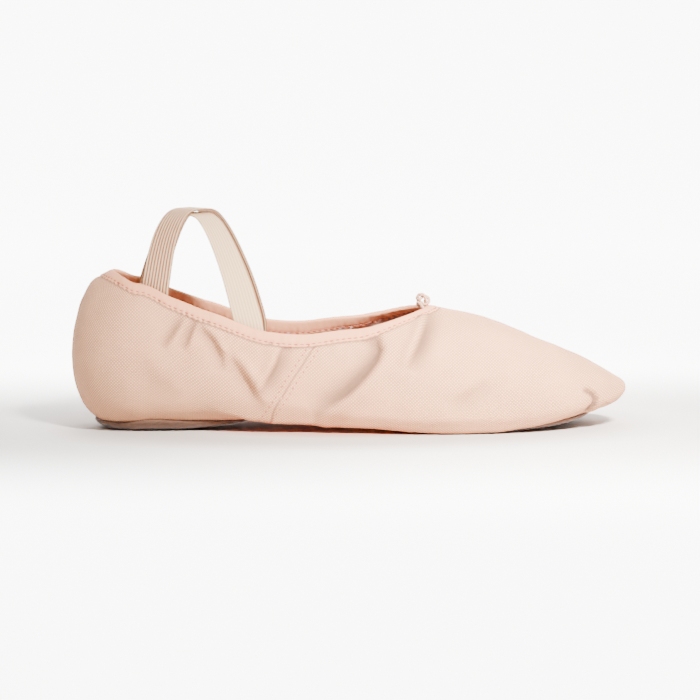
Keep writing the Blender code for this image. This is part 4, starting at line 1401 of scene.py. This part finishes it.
def build_camera():
    """The photograph's view: from the near side, a little above and a little from the heel."""
    azimuth, elevation, distance = math.radians(-3.0), math.radians(6.5), 1.40
    frame_width, pixels_per_metre, sensor = 700.0, 2357.0, 36.0
    aim = Vector((-0.0004, 0.0, 0.0319))
    back = Vector((math.sin(azimuth) * math.cos(elevation),
                   -math.cos(azimuth) * math.cos(elevation), math.sin(elevation)))
    data = bpy.data.cameras.new("photo_view")
    data.sensor_width = sensor
    data.lens = sensor * pixels_per_metre * distance / frame_width
    data.clip_start, data.clip_end = 0.05, 20.0
    camera = placed("photo_view", data, aim + back * distance, -back)
    bpy.context.scene.camera = camera


def build_stage():
    build_floor()
    build_lights()
    build_camera()


# Operators

class Step:
    """What the operators have in common: each runs its own build function."""

    def execute(self, context):
        self.build()
        return {"FINISHED"}


class SHOE_OT_stage(Step, bpy.types.Operator):
    """Set up the floor, the lights and the camera"""

    bl_idname = "shoe.stage"
    bl_label = "Studio"
    build = staticmethod(build_stage)


class SHOE_OT_canvas(Step, bpy.types.Operator):
    """Make the canvas upper with its lining"""

    bl_idname = "shoe.canvas"
    bl_label = "Canvas Upper"
    build = staticmethod(build_canvas)


class SHOE_OT_tape(Step, bpy.types.Operator):
    """Make the folded tape round the collar"""

    bl_idname = "shoe.tape"
    bl_label = "Collar Tape"
    build = staticmethod(build_binding)


class SHOE_OT_soles(Step, bpy.types.Operator):
    """Make the two suede sole patches"""

    bl_idname = "shoe.soles"
    bl_label = "Suede Soles"
    build = staticmethod(build_soles)


class SHOE_OT_insoles(Step, bpy.types.Operator):
    """Make the two lining pads"""

    bl_idname = "shoe.insoles"
    bl_label = "Lining Pads"
    build = staticmethod(build_insoles)


class SHOE_OT_straps(Step, bpy.types.Operator):
    """Make the two crossed elastic straps"""

    bl_idname = "shoe.straps"
    bl_label = "Elastic Straps"
    build = staticmethod(build_straps)


class SHOE_OT_cord(Step, bpy.types.Operator):
    """Make the drawstring's knot at the throat"""

    bl_idname = "shoe.cord"
    bl_label = "Drawstring Knot"
    build = staticmethod(build_cord)


class SHOE_OT_stitches(Step, bpy.types.Operator):
    """Sew the rows of stitches"""

    bl_idname = "shoe.stitches"
    bl_label = "Stitches"
    build = staticmethod(build_stitches)


OPERATORS = (SHOE_OT_stage, SHOE_OT_canvas, SHOE_OT_tape, SHOE_OT_soles, SHOE_OT_insoles,
             SHOE_OT_straps, SHOE_OT_cord, SHOE_OT_stitches)


class SHOE_PT_panel(bpy.types.Panel):
    """The shoe's pieces, sizes and colours"""

    bl_idname = "SHOE_PT_panel"
    bl_label = "Ballet Shoe"
    bl_space_type = "VIEW_3D"
    bl_region_type = "UI"
    bl_category = "Ballet Shoe"

    def draw(self, context):
        layout = self.layout
        for operator in OPERATORS:
            layout.operator(operator.bl_idname)
        for group in (context.scene.shoe_sizes, context.scene.shoe_colours):
            box = layout.box()
            for key in group.__annotations__:
                box.prop(group, key)


CLASSES = (ShoeSizes, ShoeColours, *OPERATORS, SHOE_PT_panel)


def register():
    for cls in CLASSES:
        bpy.utils.register_class(cls)
    bpy.types.Scene.shoe_sizes = PointerProperty(type=ShoeSizes)
    bpy.types.Scene.shoe_colours = PointerProperty(type=ShoeColours)


def unregister():
    del bpy.types.Scene.shoe_sizes
    del bpy.types.Scene.shoe_colours
    for cls in reversed(CLASSES):
        bpy.utils.unregister_class(cls)


def main():
    register()
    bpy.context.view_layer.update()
    bpy.ops.shoe.stage()
    bpy.ops.shoe.cord()
    bpy.ops.shoe.canvas()
    bpy.ops.shoe.tape()
    bpy.ops.shoe.soles()
    bpy.ops.shoe.insoles()
    bpy.ops.shoe.straps()
    bpy.ops.shoe.stitches()


if __name__ == "__main__":
    main()
